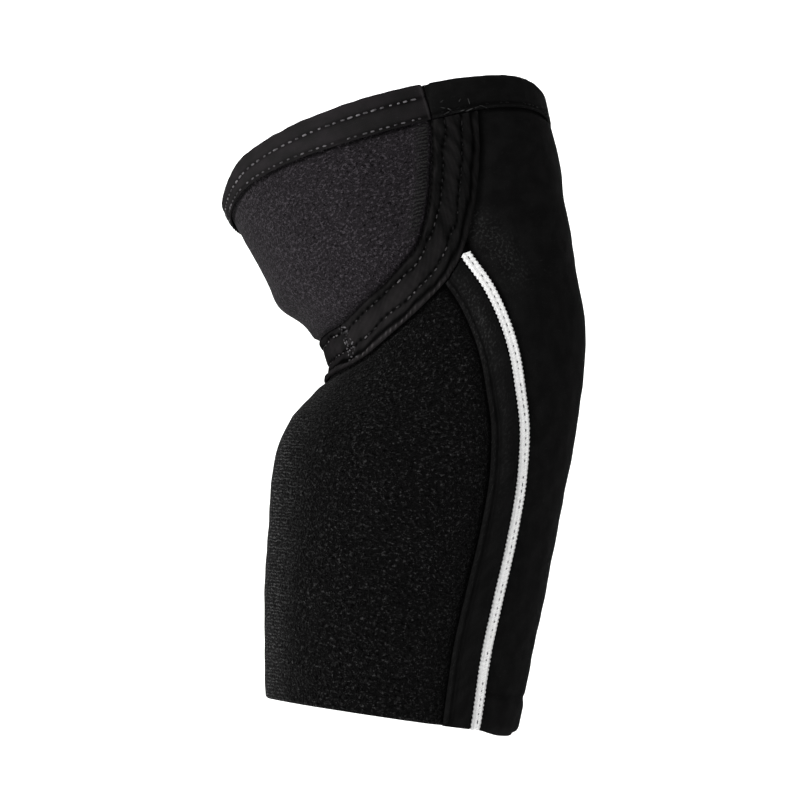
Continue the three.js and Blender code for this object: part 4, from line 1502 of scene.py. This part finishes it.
low_row, high_row = FRONT_HEM_STITCHES
plain_size, band_size = (1.3, 0.5, 0.08), (1.3, 0.55, 0.14)
sew("hem_stitches", front_hem_row(high_row), (1.5, 0.68, 0.16), hem_thread, "smooth_charcoal")
sew("hem_edge_stitches", front_hem_row(low_row), (1.4, 0.62, 0.14), edge_thread, "smooth_charcoal")
sew("back_hem_stitches", back_hem_row(), plain_size, black_thread, "black_jersey")
sew("foot_hem_stitches", foot_hem_row(), plain_size, black_thread, "black_jersey")
sew("crease_stitches", crease_rows(), band_size, band_thread, "smooth_charcoal")
for far, word in ((False, "near"), (True, "far")):
    sew(f"band_stitches_{word}", band_rows(far), band_size, band_thread, "black_band")
    sew(f"joint_tack_{word}", joint_tacks(far), (1.1, 0.6, 0.2), tack_thread, "smooth_charcoal")
    sew(f"corner_tack_{word}", corner_tacks(far), (2.2, 0.4, 0.12), corner_thread, "black_jersey")
    sew(f"tape_marks_{word}", tape_marks(far), (0.9, 0.35, 0.06), edge_thread, "white_tape")


# Stage, light and camera

FLOOR_HEIGHT = -0.30
SLEEVE_MIDDLE = (-0.02, 0, -0.01)


def backdrop():
    """A floor that curves up into a wall: a profile of a straight, a quarter circle and a
    straight, carried sideways."""
    angle = np.linspace(0, math.pi / 2, 24)
    bend, start = 0.6, 1.4
    y = np.concatenate([[-4.0], start + bend * np.sin(angle), [start + bend]])
    z = np.concatenate([[0.0], bend * (1 - np.cos(angle)), [2.6]]) + FLOOR_HEIGHT
    x = np.linspace(-3, 3, 9)
    points = np.stack(np.broadcast_arrays(x[:, None], y[None], z[None]), -1)
    mesh = bpy.data.meshes.new("backdrop")
    mesh.from_pydata(points.reshape(-1, 3), [], quads_of(len(x), len(y), turned=True).tolist())
    mesh.polygons.foreach_set("use_smooth", np.ones(len(mesh.polygons), dtype=bool))
    material, _, shader = new_material("White paper", 0.9, 0.1)
    shader.inputs["Base Color"].default_value = (0.93, 0.93, 0.93, 1)
    shader.inputs["Emission Color"].default_value = (1, 1, 1, 1)
    shader.inputs["Emission Strength"].default_value = 0.5
    mesh.materials.append(material)
    piece = bpy.data.objects.new("backdrop", mesh)
    bpy.context.scene.collection.objects.link(piece)


def aimed(thing, place, target):
    """Puts a light or the camera in place, its -Z towards the target."""
    thing.location = place
    thing.rotation_euler = (Vector(target) - Vector(place)).to_track_quat("-Z", "Y").to_euler()
    bpy.context.scene.collection.objects.link(thing)


def softbox(name, place, size, power):
    light = bpy.data.lights.new(name, "AREA")
    light.size = size
    light.energy = power
    aimed(bpy.data.objects.new(name, light), place, SLEEVE_MIDDLE)


backdrop()
softbox("key_left", (-1.3, -0.9, 0.7), 0.9, 31)
softbox("fill_right", (1.0, -1.2, 0.5), 0.9, 4)
softbox("top", (0.0, 0.3, 1.5), 1.0, 8)
softbox("fill_behind", (0.6, 1.2, 0.6), 0.9, 4)


def pale_world():
    """A white surround, which lights the sleeve at half of the strength that the camera sees."""
    world = bpy.data.worlds.new("Pale studio")
    world.use_nodes = True
    tree = world.node_tree
    seen = tree.nodes.new("ShaderNodeLightPath").outputs["Is Camera Ray"]
    surround = tree.nodes["Background"]
    surround.inputs["Color"].default_value = (1, 1, 1, 1)
    feed(tree, surround.inputs["Strength"], ranged(tree, seen, 0.0, 1.0, 0.5, 1.0))
    bpy.context.scene.world = world


pale_world()
bpy.context.scene.view_settings.view_transform = "Standard"

VIEW_WIDTH = 0.28
SENSOR = 36
camera_place, camera_target = (-0.01995, -1.0, -0.095), (-0.01995, 0, -0.0112)
camera = bpy.data.cameras.new("photo_camera")
camera.sensor_width = SENSOR
camera.lens = SENSOR * math.dist(camera_place, camera_target) / VIEW_WIDTH
camera.clip_start, camera.clip_end = 0.05, 20
camera_thing = bpy.data.objects.new("photo_camera", camera)
aimed(camera_thing, camera_place, camera_target)
bpy.context.scene.camera = camera_thing
